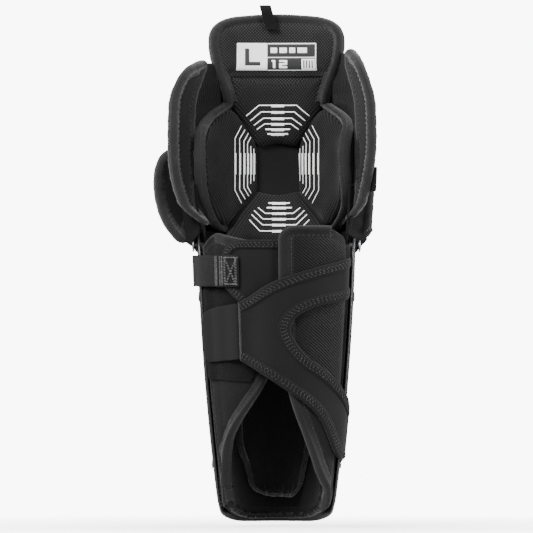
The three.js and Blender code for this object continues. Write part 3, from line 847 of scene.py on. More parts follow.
def build_shin_shell():
    loop = both((0, 0, 1), (40, 0, 10), (62, 4, 12), (84, 10, 12), (98, 26, 12), (101, 60, 14), (101, 236, 8), (94, 250, 8), (84, 258, 5), (0, 258, 1))
    vents = [slot_outline(s * VENT_ANGLE, z, 26, 7, 24) for s in (-1, 1) for z in VENT_HEIGHTS]
    holes = [circle(s * RIVET_ANGLE, z, 2.2, 14) for s in (-1, 1) for z in RIVET_HEIGHTS]
    pivots = [circle(s * PIVOT_ANGLE, 245, 3.4, 18) for s in (-1, 1)]
    shell = patch(
        "shin_shell_moulding", loop, leg,
        lambda a, z, d: SHELL_IN + bottom_lip(z),
        lambda a, z, d: SHELL_IN + WALL + shin_relief(a, z) + bottom_lip(z) - 0.5 * (1 - smooth(0, 5, d)),
        M["shell"], holes=vents + holes + pivots, step=2.2, edge=1.1,
    )
    declare(shell, "shin", "shell_plastic", "shin_shell")
    profile = dome(4.5, 0.9, 1.8, 3)
    for side, word in ((-1, "outer"), (1, "inner")):
        for z, level in zip(RIVET_HEIGHTS, ("lower", "upper")):
            origin = leg(np.array(side * RIVET_ANGLE), np.array(z), np.array(SHELL_IN + WALL + 0.2))
            ahead = leg(np.array(side * RIVET_ANGLE), np.array(z), np.array(SHELL_IN + WALL + 1.2))
            rivet = turned(f"rivet_{word}_{level}", profile, origin, ahead - origin, M["steel"])
            declare(rivet, "shin", "rivet_metal", f"shell_rivet_{word}_{level}")
    marks = []
    for side in (-1, 1):
        line = resample(np.array([(side * 97.2, 60.0), (side * 97.2, 232.0)]), 4, False)
        marks.append(sweep("stripe", line, leg, lambda a, z: SHELL_IN + WALL + 0.0 * a + 0.02, tape(1.1, 0.22), M["edging"], closed=False))
    for x, long in ((-33, 2.4), (-21, 1.6), (-8, 9), (7, 9), (21, 1.6), (30, 3)):
        line = resample(np.array([(x - long / 2, 3.0), (x + long / 2, 3.0)]), 1.2, False)
        face = lambda a, z: SHELL_IN + WALL + shin_relief(a, z) + bottom_lip(z) - 0.2
        marks.append(sweep("mark", line, leg, face, tape(2.2, 0.3), M["white"], closed=False))
    declare(join("shell_prints", marks), "shin", "label_print")


PIVOT_ANGLE = 87.4


def build_shin_lining():
    edge = both((0, 3, 1), (40, 3, 8), (62, 7, 10), (84, 13, 12), (96, 30, 12), (98, 60, 12), (98, 236, 3), (0, 236, 1))
    foam = patch(
        "shin_lining", edge, leg,
        lambda a, z, d: -0.0 - 1.6 * pillow(d, 8) * (0.7 + 0.3 * np.sin(z / 11.0)),
        lambda a, z, d: 9.6 + 0 * a, M["nylon"], step=3.2, edge=4.2,
    )
    declare(foam, "shin", "foam_cloth", "shin_foam", pad=0.55)
    low = resample(rounded([(-96, 30, 1), (-84, 13, 12), (-62, 7, 12), (-40, 3, 10), (40, 3, 10), (62, 7, 12), (84, 13, 12), (96, 30, 1)], False), 1.0, False)
    bind = sweep("shin_lining_binding", low, leg, 3.0, roll(9.5, 10, 2.6), M["satin"], closed=False, pucker=0.9, wrinkle=8)
    declare(bind, "shin", "foam_cloth")
    row = low + inward(low, False) * 9.4
    sewn = stitches("shin_lining_stitches", [(row, leg, lambda a, z: -1.4 + 0 * a, False)], M["thread"])
    declare(sewn, "shin", "foam_cloth")


LINER_IN, LINER_OUT = -9, -3


def build_liner():
    """The removable tongue: a thin quilted pad whose edges are bound in a lighter tape, gathered at the bottom."""
    edge = outline(
        (0, 22.5, 6), (33, 21.5, 7), (38, 31, 8), (42, 48, 10), (48, 69, 12), (44, 90, 14), (58, 130, 20), (62, 200, 12),
        (54, 222, 8), (-54, 222, 8), (-62, 200, 12), (-60, 130, 20), (-54, 92, 14), (-59, 69, 12), (-44, 48, 10), (-39, 28, 7), (-20, 23, 7),
        step=1.0,
    )
    gather = lambda a, z: 1.5 * (1 - smooth(24, 38, z)) * (np.sin(a / 2.9) + 0.5 * np.sin(a / 1.35 + 1))
    fold = lambda a: 2.2 * smooth(40, 47, np.abs(a)) * (1 - smooth(200, 215, 0 * a))
    core = inset(edge, 1.2)
    pad = patch(
        "liner_pad", core, leg,
        lambda a, z, d: -6.0 - 2.6 * pillow(d, 15) - liner_curl(z) + gather(a, z) * pillow(d, 6) + fold(a) * 0.5,
        lambda a, z, d: LINER_OUT - 0.8 - liner_curl(z) + 0 * a, M["twill"], step=2.0, edge=2.4,
    )
    declare(pad, "shin", "liner_mesh", "shin_liner", pad=0.45)
    bind = sweep("liner_binding", edge, leg, lambda a, z: -5.2 - liner_curl(z) + gather(a, z) * 0.6, roll(5.6, 6.4, 1.6), M["edging"], pucker=0.5, wrinkle=6)
    declare(bind, "shin", "liner_mesh")
    row = inset(edge, 5.0)
    sewn = stitches("liner_stitches", [(row, leg, lambda a, z: -7.6 - liner_curl(z) + gather(a, z) * 0.6, True)], M["thread"], long=1.8, gap=1.0)
    declare(sewn, "shin", "liner_mesh")
    for name, z in (("liner_hook_lower", 60), ("liner_hook_upper", 180)):
        loop = outline((-24, z, 2), (24, z, 2), (24, z + 25, 2), (-24, z + 25, 2))
        strip = patch(f"{name}_tape", loop, leg, -2.4, -0.8, M["pile"], edge=0.7)
        declare(strip, "shin", "loop_pile", name)


# ---- Knee section ---------------------------------------------------------------------------------
def knee_shell_in(a, z):
    skirt = 16.5 - 1.6 * smooth(58, 78, np.abs(a))
    return skirt + (SHELL_IN - skirt) * smooth(262, 288, z)


def knee_relief(a, z):
    side = np.abs(a)
    crown = 2.2 * (1 - smooth(26, 34, side)) * smooth(284, 296, z) * (1 - smooth(362, 378, z))
    cups = 0.8 * band(side, 41, 43, 2) * band(z, 290, 366, 8)
    dish = -0.8 * (1 - smooth(9, 15, side)) * band(z, 302, 354, 6)
    return crown + cups + dish


def build_knee_shell():
    loop = both(
        (0, 236, 1), (62, 236, 8), (84, 241, 6), (88, 250, 5), (83, 260, 6), (64, 266, 8),
        (55, 276, 8), (56, 350, 14), (50, 375, 12), (38, 388, 9), (24, 394, 8), (0, 394, 1),
    )
    pivots = [circle(s * PIVOT_ANGLE, 245, 3.2, 18) for s in (-1, 1)]
    shell = patch(
        "knee_shell_moulding", loop, leg,
        lambda a, z, d: knee_shell_in(a, z),
        lambda a, z, d: knee_shell_in(a, z) + WALL + knee_relief(a, z) - 0.5 * (1 - smooth(0, 4, d)),
        M["shell"], step=2.2, edge=1.1,
    )
    declare(shell, "knee", "shell_plastic", "knee_shell")
    profile = dome(5.5, 2.2, 3, 8)
    for side, word in ((-1, "outer"), (1, "inner")):
        low, high = span(f"knee_rivet_{word}")
        outside = high[0] if side > 0 else low[0]
        rivet = turned(f"pivot_rivet_{word}", profile, np.array([outside - side * 4.4, 5.0, 245.0]), (side, 0, 0), M["steel"])
        declare(rivet, "knee", "rivet_metal", f"knee_rivet_{word}")


BUCKET = [
    (58, 259, 4), (74, 270, 10), (89, 286, 14), (100, 304, 16), (104, 322, 14), (101, 340, 12),
    (89, 353, 10), (70, 363, 10), (50, 371.5, 9), (42, 380, 5), (42, 391, 4),
]


def build_bucket():
    loop = both((0, 259, 1), *BUCKET, (0, 391, 1))
    foam = patch(
        "knee_bucket", inset(loop, 1.2), knee,
        lambda a, z, d: 0.4 + 0 * a, lambda a, z, d: 8.6 + 0.5 * pillow(d, 9), M["well"], step=2.8, edge=2.2,
    )
    declare(foam, "knee", "foam_cloth", "knee_foam", pad=0.6)
    rims, rows = [], []
    for side in (-1, 1):
        corners = [(side * a, z, r) for a, z, r in ([(50, 257, 1)] + BUCKET)]
        line = resample(rounded(corners, False), 1.1, False)
        if side < 0:
            line = line[::-1]
        middle = lambda a, z: 4.0 - 2.6 * smooth(352, 372, z) + 0 * a
        rims.append(sweep("rim", line, knee, middle, roll(6.0, 10.4, 4.2, 1.4), M["binding"], closed=False, pucker=0.26, wrinkle=10))
        row = line + inward(line, False) * 7.2
        rows.append((row, knee, lambda a, z: -0.9 + 0 * a, False))
    declare(join("knee_bucket_binding", rims), "knee", "foam_cloth")
    declare(stitches("knee_bucket_stitches", rows, M["thread"]), "knee", "foam_cloth")


def front_angle(x, z, out):
    """The angle at which something at the front is seen at x from straight behind."""
    return np.degrees(np.arcsin(np.clip(x / (half_width(z) + out), -0.999, 0.999)))


class Pad:
    """One of the knee's four sewn pads: a pillow on the bucket's inside, with its printed lines."""

    def __init__(self, name, node, corners, crown=9.0, reach=15, rear=0.0):
        self.name = name
        self.loop = outline(*corners)
        self.crown, self.reach, self.rear = crown, reach, rear
        pad = patch(
            name, self.loop, knee, lambda a, z, d: self.level(a, z, d), lambda a, z, d: -0.6 + 0 * a,
            M["pad"], step=2.2, edge=1.0,
        )
        declare(pad, "knee", "liner_mesh", node, pad=0.6)
        self.prints = []

    def level(self, a, z, gap):
        """The crowned face, thinner towards the bucket's rear edges, with a little unevenness from the foam."""
        crown = self.crown * pillow(gap, self.reach) * (1 - self.rear * smooth(58, 96, np.abs(a)))
        return -1.6 - crown + 0.28 * np.sin(a / 6.3 + 1) * np.sin(z / 8.1) * pillow(gap, 20)

    def face(self, a, z):
        return self.level(a, z, distance(np.stack([a, z], 1), [self.loop]))

    def line(self, points, wide):
        """A printed line through (x, z) points as they are seen from straight behind."""
        flat = resample(np.array(points, float), 0.7, False)
        out = np.full(len(flat), -10.0)
        for _ in range(3):
            angles = front_angle(flat[:, 0], flat[:, 1], out)
            out = self.face(angles, flat[:, 1])
        ribbon = sweep(
            "print", np.stack([angles, flat[:, 1]], 1), knee, lambda a, z: self.face(a, z) - 0.1,
            tape(wide, 0.36), M["white"], closed=False,
        )
        self.prints.append(ribbon)

    def finish(self):
        declare(join(f"{self.name}_print", self.prints), "knee", "label_print")


def build_pads():
    top = Pad("knee_pad_top_cushion", "knee_pad_top", [
        (-47, 394.5, 4), (-45.5, 372, 12), (-31, 354, 14), (-16.5, 333, 5), (0, 337, 16),
        (18, 333, 5), (33, 351, 14), (46.5, 372, 12), (48, 394.5, 4),
    ])
    rows = ((370, 16.8, 11.2, 9.5), (364.2, 14.7, 9.8, 8), (358.6, 12.7, 8.6, 6.4), (353.6, 11.6, 7, 5), (348.8, 11, 0, 0), (344.6, 9.2, 0, 0))
    for z, half, across, down in rows:
        ends = [(1.1 - half, z), (1.1 + half, z)]
        if across:
            ends = [(1.1 - half - across, z - down), *ends, (1.1 + half + across, z - down)]
        top.line(ends, 1.0 if across else 1.5)
        top.line([(-4.7, z - 0.5), (6.9, z - 0.5)], 2.3)
    top.finish()
    low = Pad("knee_pad_bottom_cushion", "knee_pad_bottom", [
        (-64, 240, 6), (-51, 260, 12), (-19, 294, 5), (0, 289, 16), (21, 294, 5), (52, 260, 12), (64, 240, 6),
    ], crown=8.0)
    rows = ((283.2, 9.5, 0, 0), (279, 11.2, 0, 0), (274, 12.4, 6.4, 5.2), (269, 14.6, 7.8, 7.6), (263.8, 15, 9.6, 9.2), (258.3, 17.2, 9.4, 10))
    for z, half, across, up in rows:
        ends = [(2.4 - half, z), (2.4 + half, z)]
        if across:
            ends = [(2.4 - half - across, z + up), *ends, (2.4 + half + across, z + up)]
        low.line(ends, 1.0 if across else 1.4)
        low.line([(-4, z - 0.3), (8.4, z - 0.3)], 2.2)
    low.finish()
    for side, word in ((-1, "outer"), (1, "inner")):
        near = 17.5 if side < 0 else 20.5
        corners = [
            (near, 292, 6), (near, 335, 6), (30, 353, 12), (45, 368, 8), (68, 358, 12), (85, 349, 12), (97, 338, 12),
            (100, 322, 16), (96, 305, 14), (86, 288, 12), (72, 273, 10), (56, 261, 8), (34, 278, 12),
        ]
        pad = Pad(f"knee_pad_{word}_cushion", f"knee_pad_{word}", [(side * a, z, r) for a, z, r in corners], crown=8.5, rear=0.72)
        columns = (
            (36.9, 294.4, 340.5, 5.9, 11.5), (32.8, 295.1, 340, 5, 8.5), (29, 296.8, 338.1, 4.2, 7.4),
            (25.8, 297.5, 336.3, 3.2, 5.6), (22.9, 300.3, 333.9, 0, 0), (20.1, 302.7, 331.5, 0, 0),
        )
        for x, bottom, high, across, up in columns:
            x = side * x + (0.6 if side > 0 else 0)
            ends = [(x, bottom), (x, high)]
            if across:
                ends = [(x - side * across, bottom - up), *ends, (x - side * across, high + up)]
            pad.line(ends, 1.0)
            pad.line([(x - side * 0.5, 308.6), (x - side * 0.5, 327.5)], 2.1)
        pad.finish()


# ---- Thigh flap -----------------------------------------------------------------------------------
def flap_across(x, out=0.0):
    return FLAP_BEND * np.arcsin(np.asarray(x, float) / (FLAP_BEND + out))


FLAP_OUTLINE = [(43, 371, 3), (49, 387, 8), (60, 413, 16), (60.8, 436, 14), (46, 448, 16)]


def flap_face(a, z, gap):
    """The flap's quilted front: flat under the binding, crowned inside the stitched line."""
    return 2.6 - 3.4 * pillow(np.clip(gap - 7.0, 0, None), 9) + 0.25 * np.sin(a / 9.0) * np.sin(z / 7.0)


def build_thigh_flap():
    loop = outline(
        (0, 393.5, 3), (42, 393.5, 3), (42, 380, 2), *FLAP_OUTLINE, (0, 452, 30),
        *[(-x, z, r) for x, z, r in reversed(FLAP_OUTLINE)], (-42, 380, 2), (-42, 393.5, 3),
    )
    core = patch(
        "thigh_flap_panel", inset(loop, 1.3), flap, lambda a, z, d: flap_face(a, z, d + 1.3),
        lambda a, z, d: 9.6 + 1.2 * pillow(d, 12), M["knit"], step=2.0, edge=1.6,
    )
    declare(core, "thigh", "foam_cloth", "thigh_flap", pad=0.6)
    side = rounded([*FLAP_OUTLINE, (0, 452, 40), *[(-x, z, r) for x, z, r in reversed(FLAP_OUTLINE)]], False)
    line = resample(side, 1.0, False)
    bind = sweep("thigh_flap_binding", line, flap, lambda a, z: 5.4 + 6.5 * (1 - smooth(366, 384, z)), roll(9.2, 10.4, 3.6), M["binding"], closed=False, pucker=0.2, wrinkle=11)
    declare(bind, "thigh", "foam_cloth")
    row = line + inward(line, False) * 8.4
    sewn = stitches("thigh_flap_stitches", [(row, flap, lambda a, z: 1.3 + 0 * a, False)], M["thread"])
    declare(sewn, "thigh", "foam_cloth")
    build_label(inset(loop, 1.3))
    crease = outline((-43, 387, 2), (43, 387, 2), (43, 400, 2), (-43, 400, 2))
    fold = patch("thigh_hinge_cloth", crease, flap, lambda a, z, d: 4.6 + 0 * a, lambda a, z, d: 8.4 + 0 * a, M["knit"], step=2.4, edge=1.4)
    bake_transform(fold)


def block(name, points, level, thick, material, gap_of):
    """A flat printed block on the flap, given by the corners seen from behind."""
    loop = resample(np.array([(float(flap_across(x)), z) for x, z in points]), 0.8)
    if area_of(loop) < 0:
        loop = loop[::-1].copy()
    face = lambda a, z: flap_face(a, z, distance(np.stack([a, z], 1), [gap_of]) + 1.3)
    return patch(
        name, loop, flap, lambda a, z, d: face(a, z) - level - thick, lambda a, z, d: face(a, z) - level + 0.1,
        material, step=1.6, edge=0.12,
    )


def build_label(gap_of):
    """The size label: a white block with an upright L, and dark blocks with plain bars and the size 12."""
    x0, x1, x2 = -35.5, -8.2, 35.6
    base, top = 401.0, 425.2
    lean = 0.4

    def box(a, b, low, high):
        return [(a, low), (b, low), (b, high), (a, high)]

    white = [
        block("w", box(x0, x1, base, top), 0, 0.35, M["white"], gap_of),
        block("w", box(x1, x2, top - 1, top), 0, 0.35, M["white"], gap_of),
        block("w", box(x1, x2, base - 0.6, base + 0.5), 0, 0.35, M["white"], gap_of),
        block("w", box(x2 - 1, x2, base, top), 0, 0.35, M["white"], gap_of),
        block("w", box(x1, x2, 412.1, 412.9), 0, 0.35, M["white"], gap_of),
        block("w", box(22.2, 34.2, 401.6, 411.2), 0, 0.35, M["white"], gap_of),
    ]
    for k, (a, b) in enumerate(((-5.4, 0.6), (2.6, 9.4), (11.4, 16.8), (18.8, 27.4))):
        white.append(block("w", box(a, b, 416.4, 421.2), 0.2, 0.3, M["white"], gap_of))
    one = [(-3.2, 402.9), (-1.0, 402.9), (-1.0, 410.2), (-4.6, 410.2), (-4.6, 408.4), (-3.2, 408.4)]
    two = [
        (2.2, 402.9), (9.6, 402.9), (9.6, 404.7), (4.8, 404.7), (4.8, 405.7), (9.6, 405.7), (9.6, 410.2),
        (2.2, 410.2), (2.2, 408.4), (7.2, 408.4), (7.2, 407.5), (2.2, 407.5),
    ]
    white.append(block("w", one, 0.2, 0.3, M["white"], gap_of))
    white.append(block("w", two, 0.2, 0.3, M["white"], gap_of))
    label = declare(join("size_label_white", white), "thigh", "label_print", "size_label")
    letter = [(-28.4, 405.4), (-14.6, 405.4), (-14.6, 408.6), (-24.6, 408.6), (-24.6, 420.4), (-28.4, 420.4)]
    dark = [
        block("d", letter, 0.4, 0.25, M["ink"], gap_of),
        block("d", box(x1 + 0.2, x2 - 1.1, 413, top - 1.1), 0.02, 0.25, M["ink"], gap_of),
        block("d", box(x1 + 0.2, 21.4, 401.7, 412), 0.02, 0.25, M["ink"], gap_of),
    ]
    for k in range(4):
        dark.append(block("d", box(24 + 2.5 * k, 25 + 2.5 * k, 403, 410), 0.4, 0.2, M["ink"], gap_of))
    declare(join("size_label_ink", dark), "thigh", "label_print")
    return label


def build_loop():
    """The pull loop: a tape folded double, standing up from the flap's top edge."""
    low, high = span("pull_loop")
    centre = [(-0.9, 0), (-0.85, 8), (-0.8, 15.5), (-1.2, 19.6), (-2.9, 21.8), (-4.6, 19.8), (-5.0, 16.5), (-3.6, 9.5), (-2.2, 4), (-2.0, 0)]
    path = resample(rounded([(y, z, 3) for y, z in centre], False), 0.7, False)
    base_x, base_y = -9.0, span("pull_loop")[1][1] + 0.2
    rings, uv = [], []
    normal = inward(path, False)
    run = np.r_[0, np.cumsum(np.linalg.norm(np.diff(path, axis=0), axis=1))]
    section = [(0, -0.55), (1, -0.62), (5, -0.7), (9, -0.62), (10, -0.55), (10.15, 0), (10, 0.55), (9, 0.62), (5, 0.7), (1, 0.62), (0, 0.55), (-0.15, 0)]
    for (y, z), (ny, nz), s in zip(path, normal, run):
        for x, t in section:
            yy, zz = y + ny * t, z + nz * t
            rings.append((base_x - 0.29 * zz + x, base_y + yy, low[2] + zz))
            uv.append((x, s))
    count, around = len(path), len(section)
    faces = []
    for i in range(count - 1):
        for j in range(around):
            k = (j + 1) % around
            faces.append((i * around + j, (i + 1) * around + j, (i + 1) * around + k, i * around + k))
    faces += [tuple(range(around)), tuple((count - 1) * around + j for j in range(around))]
    tape_piece = make_mesh("pull_loop_tape", np.array(rings), faces, np.array(uv), M["webbing"])
    declare(tape_piece, "loop", "webbing", "pull_loop")


# ---- Wings at the knee ----------------------------------------------------------------------------
KNEE_WING_OUTER = wing_place(-1, 88, 14.5, 20, 0.35, 8, 13)
KNEE_WING_INNER = wing_place(1, 88, 12.8, 12, 0.25, 6, 13)
SIDE_WING_OUTER = wing_place(-1, 63, 15, 44, 0.2)
SIDE_WING_INNER = wing_place(1, 63, 15, 35, 0.2)


def build_wing(node, place, corners, body, width=12.0, height=9.0, fill=0.6, open_from=None):
    """A foam wing with a fat rolled binding all round. corners are (reach, z, rounding)."""
    loop = outline(*corners, step=1.2)
    base = 2.4
    core = patch(
        f"{node}_panel", inset(loop, 1.4), place,
        lambda a, z, d: -base - 0.9 * pillow(np.clip(d - width + 2, 0, None), 8),
        lambda a, z, d: base + 0.9 * pillow(np.clip(d - width + 2, 0, None), 8),
        M["rib"], step=2.4, edge=1.6,
    )
    declare(core, body, "foam_cloth", node, pad=fill)
    bind = sweep(f"{node}_binding", loop, place, 0.0, roll(width, height, base, 2.6, 11), M["binding"], pucker=0.34, wrinkle=6)
    declare(bind, body, "foam_cloth")
    row = inset(loop, width - 1.5)
    rows = [(row, place, lambda a, z: -base - 0.75 + 0 * a, True), (row, place, lambda a, z: base + 0.75 + 0 * a, True)]
    declare(stitches(f"{node}_stitches", rows, M["nylon"], long=2.6, gap=1.6), body, "foam_cloth")


def build_wings():
    build_wing("knee_wing_outer", KNEE_WING_OUTER, [
        (0, 264, 3), (10, 263, 5), (27, 280, 16), (40, 306, 16), (42, 336, 14), (43, 384, 10), (37, 403, 14), (10, 410, 8), (0, 409, 4),
    ], "knee_wing_outer_body")
    build_wing("knee_wing_inner", KNEE_WING_INNER, [
        (0, 268, 3), (8, 268, 5), (27, 293, 16), (41, 326, 16), (43, 386, 12), (38, 409, 14), (16, 419, 8), (4, 420, 5), (0, 416, 3),
    ], "knee_wing_inner_body")
    build_wing("side_wing_outer", SIDE_WING_OUTER, [
        (24, 247, 3), (32, 248, 4), (48, 264, 14), (55, 288, 16), (54, 312, 10), (45, 329, 10), (24, 334, 6), (0, 332, 3), (0, 284, 5), (18, 264, 8),
    ], "side_wing_outer_body", width=10.5, height=9)
    build_wing("side_wing_inner", SIDE_WING_INNER, [
        (25, 252, 2), (30, 256, 4), (30, 300, 10), (22, 318, 8), (10, 325, 4), (0, 324, 2), (0, 286, 4), (18, 266, 6),
    ], "side_wing_inner_body", width=8.5, height=8)
    loop = outline((20, 293, 1.5), (33.4, 293, 1.5), (33.4, 315, 1.5), (20, 315, 1.5), step=0.8)
    tab = patch("side_tab_tape", loop, KNEE_WING_INNER, lambda a, z, d: 4.5 + 0 * a, lambda a, z, d: 7.0 + 0 * a, M["webbing"], step=1.4, edge=0.9)
    declare(tab, "knee_wing_inner_body", "webbing", "side_tab")


# ---- Calf wings, strap and wrap -------------------------------------------------------------------
ROOT = 105.5
OUTER_ROOT = 360 - ROOT


def rise(a):
    """How far the inner calf wing stands out, to pass over the outer one and the strap."""
    return 13 * smooth(ROOT, 132, a)


def build_calf_outer():
    free = [(250, 13, 3), (246.5, 40, 10), (240, 68, 12), *rear(8, (-16, 113, 22), (-3, 137, 16), (0, 150, 12), (0, 246, 9), (-26, 250, 20))]
    loop = outline(*free, (OUTER_ROOT - 16, 257, 4), (OUTER_ROOT + 0.5, 244, 6), (OUTER_ROOT + 0.5, 24, 8), (OUTER_ROOT - 4, 12.5, 3), step=1.3)
    outer = lambda a: 6.2 + lift(360 - a)
    core = patch(
        "calf_wing_outer_panel", inset(loop, 1.3), leg, lambda a, z, d: 1.6 - 0.3 * pillow(d, 12),
        lambda a, z, d: outer(a) + 1.4 * pillow(np.clip(d - 6, 0, None), 10), M["nylon"], step=2.6, edge=1.8,
    )
    declare(core, "calf_wing_outer_body", "foam_cloth", "calf_wing_outer", pad=0.55)
    edge = rounded([(OUTER_ROOT + 0.5, 30, 3), (OUTER_ROOT + 0.5, 20, 3), (OUTER_ROOT - 4, 12.5, 3), *free, (OUTER_ROOT - 14, 257, 5), (OUTER_ROOT, 246, 4)], False)
    line = resample(edge, 1.0, False)[::-1]
    middle = lambda a, z: 4.0 + 0.75 * lift(360 - a)
    bind = sweep("calf_wing_outer_binding", line, leg, middle, roll(9.8, 8.8, 2.6, 4.8), M["tape"], closed=False, pucker=0.16, wrinkle=12)
    declare(bind, "calf_wing_outer_body", "foam_cloth")
    row = line + inward(line, False) * 7.8
    declare(stitches("calf_wing_outer_stitches", [(row, leg, lambda a, z: outer(a) + 0.9, False)], M["thread"]), "calf_wing_outer_body", "foam_cloth")
    pile = outline(*rear(9, (-22, 124.5, 3), (-14, 146, 8), (-14, 208, 3)), (OUTER_ROOT - 1, 208, 3), (OUTER_ROOT - 1, 127, 3), step=1.3)
    patch_piece = patch(
        "loop_patch_pile", pile, leg, lambda a, z, d: outer(a) + 0.9,
        lambda a, z, d: outer(a) + 2.9 + 0.25 * np.sin(a * 1.9) * np.sin(z * 1.7), M["pile"], step=1.5, edge=0.9,
    )
    declare(patch_piece, "calf_wing_outer_body", "loop_pile", "loop_patch")


def build_calf_inner():
    free = rear(20, (51, 11, 5), (48.5, 24, 8), (38, 41, 12), (20, 88, 30), (10, 115, 20), (5, 150, 12), (2, 200, 10), (1.3, 263, 14), (48, 263, 4))
    loop = outline((ROOT + 4, 11, 4), *free, (ROOT + 14, 250, 6), (ROOT, 238, 6), (ROOT, 26, 8), step=1.3)
    outer = lambda a, z: 6.2 + np.maximum(rise(a), lift(a) * (1 - smooth(38, 50, z)))
    core = patch(
        "calf_wing_inner_panel", inset(loop, 1.3), leg, lambda a, z, d: 1.6 + rise(a),
        lambda a, z, d: outer(a, z) + 1.4 * pillow(np.clip(d - 7, 0, None), 10), M["diamond"], step=2.6, edge=1.8,
    )
    declare(core, "calf_wing_inner_body", "foam_cloth", "calf_wing_inner", pad=0.55)
    edge = rounded([(ROOT, 32, 3), (ROOT, 20, 3), (ROOT + 5, 14.5, 4), *free], False)
    line = resample(edge, 1.0, False)
    middle = lambda a, z: outer(a, z) - 2.2
    bind = sweep("calf_wing_inner_binding", line, leg, middle, roll(10.6, 9.0, 2.6, 4.8), M["tape"], closed=False, pucker=0.16, wrinkle=12)
    declare(bind, "calf_wing_inner_body", "foam_cloth")
    row = line + inward(line, False) * 8.6
    declare(stitches("calf_wing_inner_stitches", [(row, leg, lambda a, z: outer(a, z) + 0.9, False)], M["thread"]), "calf_wing_inner_body", "foam_cloth")


def hem(name, line, loop, place, face, width, material, body, slot):
    """A turned-up hem: a raised band along an edge, with ladder stitches across it."""
    middle = len(line) // 2
    if not inside((line + inward(line, False) * 2)[middle : middle + 1], loop)[0]:
        line = line[::-1]
    band_piece = sweep(
        f"{name}_hem", line, place, face,
        [(-0.3, -0.9), (-0.45, 0), (0, 0.8), (1.0, 1.15), (width - 1.2, 1.1), (width - 0.2, 0.8), (width, -0.6)],
        material, closed=False, pucker=0.1, wrinkle=14,
    )
    declare(band_piece, body, slot)
    rows = []
    for at in (0.3, 0.74):
        rows.append((line + inward(line, False) * width * at, place, lambda a, z: face(a, z) + 1.1, False))
    rows.append((line + inward(line, False) * width * 0.52, place, lambda a, z: face(a, z) + 1.05, False, width * 0.36))
    declare(stitches(f"{name}_stitches", rows, M["thread"], long=1.7, gap=1.5, wide=0.7, high=0.45), body, slot)


STRAP_IN, STRAP_OUT = 10.0, 12.4


def build_strap():
    left = rear(STRAP_OUT, (-38, 250, 6), (-46.5, 243, 6), (-49.5, 228, 6), (-48.5, 212, 5), (-41, 203, 8), (-31.5, 194, 6), (-20, 184, 6))
    loop = outline(*rear(STRAP_OUT, (4, 184, 2), (14, 192, 4), (18, 200, 4), (18, 249.4, 3)), *left, step=1.2)
    panel = patch("strap_cloth", loop, leg, lambda a, z, d: STRAP_IN + 0.2 + 0 * a, lambda a, z, d: STRAP_OUT - 0.4 + 0 * a, M["neoprene"], step=2.4, edge=0.9)
    declare(panel, "strap", "neoprene", "strap_panel")
    face = lambda a, z: STRAP_OUT - 0.4 + 0 * a
    edge = rounded([*rear(STRAP_OUT, (15, 249.6, 1)), *left[:6]], False)
    hem("strap_edge", resample(edge, 1.0, False), loop, leg, face, 7.4, M["neoprene"], "strap", "neoprene")


def webbing_level(a):
    """How far out the strap's webbing lies: on the strap panel, then up and over to its rivet."""
    return 13.2 + 2.2 * smooth(228, 258, a) + 2.2 * smooth(258, 270, a)


def build_webbing():
    loop = outline((209.5, 209, 1.5), (209.5, 236.6, 1.5), (293, 236.6, 1), (293, 209, 1), step=1.2)
    hole = circle(286, 222.5, 2.3, 16)
    tape_piece = patch(
        "strap_tape", loop, leg, lambda a, z, d: webbing_level(a) - 0.7, lambda a, z, d: webbing_level(a) + 0.7,
        M["webbing"], holes=[hole], step=1.8, edge=0.6,
    )
    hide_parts("strap_webbing", "webbing_anchor")
    start = leg(np.array(262.0), np.array(222.5), np.array(15.4)) * MM
    end = leg(np.array(252.0), np.array(222.5), np.array(15.0)) * MM
    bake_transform(tape_piece)
    edge = (208.0, 230.5)
    fold = outline((edge[0], 208.6, 2), (edge[0], 236.9, 2), (edge[1], 236.9, 1), (edge[1], 208.6, 1), step=1.0)
    ripple = lambda a, z: 0.14 * np.sin(a * 2.1) + 0.12 * np.sin(z * 1.3)
    turn = patch("strap_tape_fold", fold, leg, lambda a, z, d: webbing_level(a) + 0.7, lambda a, z, d: webbing_level(a) + 2.1 + ripple(a, z), M["webbing"], step=1.4, edge=0.7)
    declare(turn, "strap", "webbing")
    level = lambda a, z: webbing_level(a) + 2.15
    box = [(210, 211), (219.6, 211), (219.6, 234.4), (210, 234.4), (210, 211)]
    rows = []
    for shift in (0.0, 0.9):
        rows += [(resample(np.array(box, float) + (shift, shift * 0.6), 0.9, False), leg, level, False)]
        rows += [(resample(np.array([(210 + shift, 211.0), (219.6 + shift, 234.4)]), 0.9, False), leg, level, False)]
        rows += [(resample(np.array([(219.6 - shift, 211.0), (210 - shift, 234.4)]), 0.9, False), leg, level, False)]
    for a in (222.6, 224.6, 228.0, 229.4):
        rows.append((resample(np.array([(a, 210.4), (a, 235.2)]), 0.9, False), leg, level, False, 1.7))
    declare(stitches("strap_tape_stitches", rows, M["sewing"], long=1.9, gap=0.55, wide=0.8, high=0.6), "strap", "webbing")
    origin = leg(np.array(286.0), np.array(222.5), np.array(16.2))
    ahead = leg(np.array(286.0), np.array(222.5), np.array(17.2))
    rivet = turned("strap_rivet", dome(5.5, 1.9, 1.8, 2.4), origin, ahead - origin, M["steel"])
    declare(rivet, "shin", "rivet_metal", "anchor_rivet")


WRAP_THICK = 2.4
FORK = 171.5
STEM_END = 208.0


def wrap_face(a, z):
    """The wrap's inner face: its lower arm stands out past the shell's edge."""
    return wrap_in(a) + 7.5 * (1 - smooth(110, 133, a)) * band(z, 60, 110, 14)


def wrap_in(a):
    return 9.2 + 12.2 * smooth(ROOT, 132, a) - 7.6 * smooth(178, 204, a)


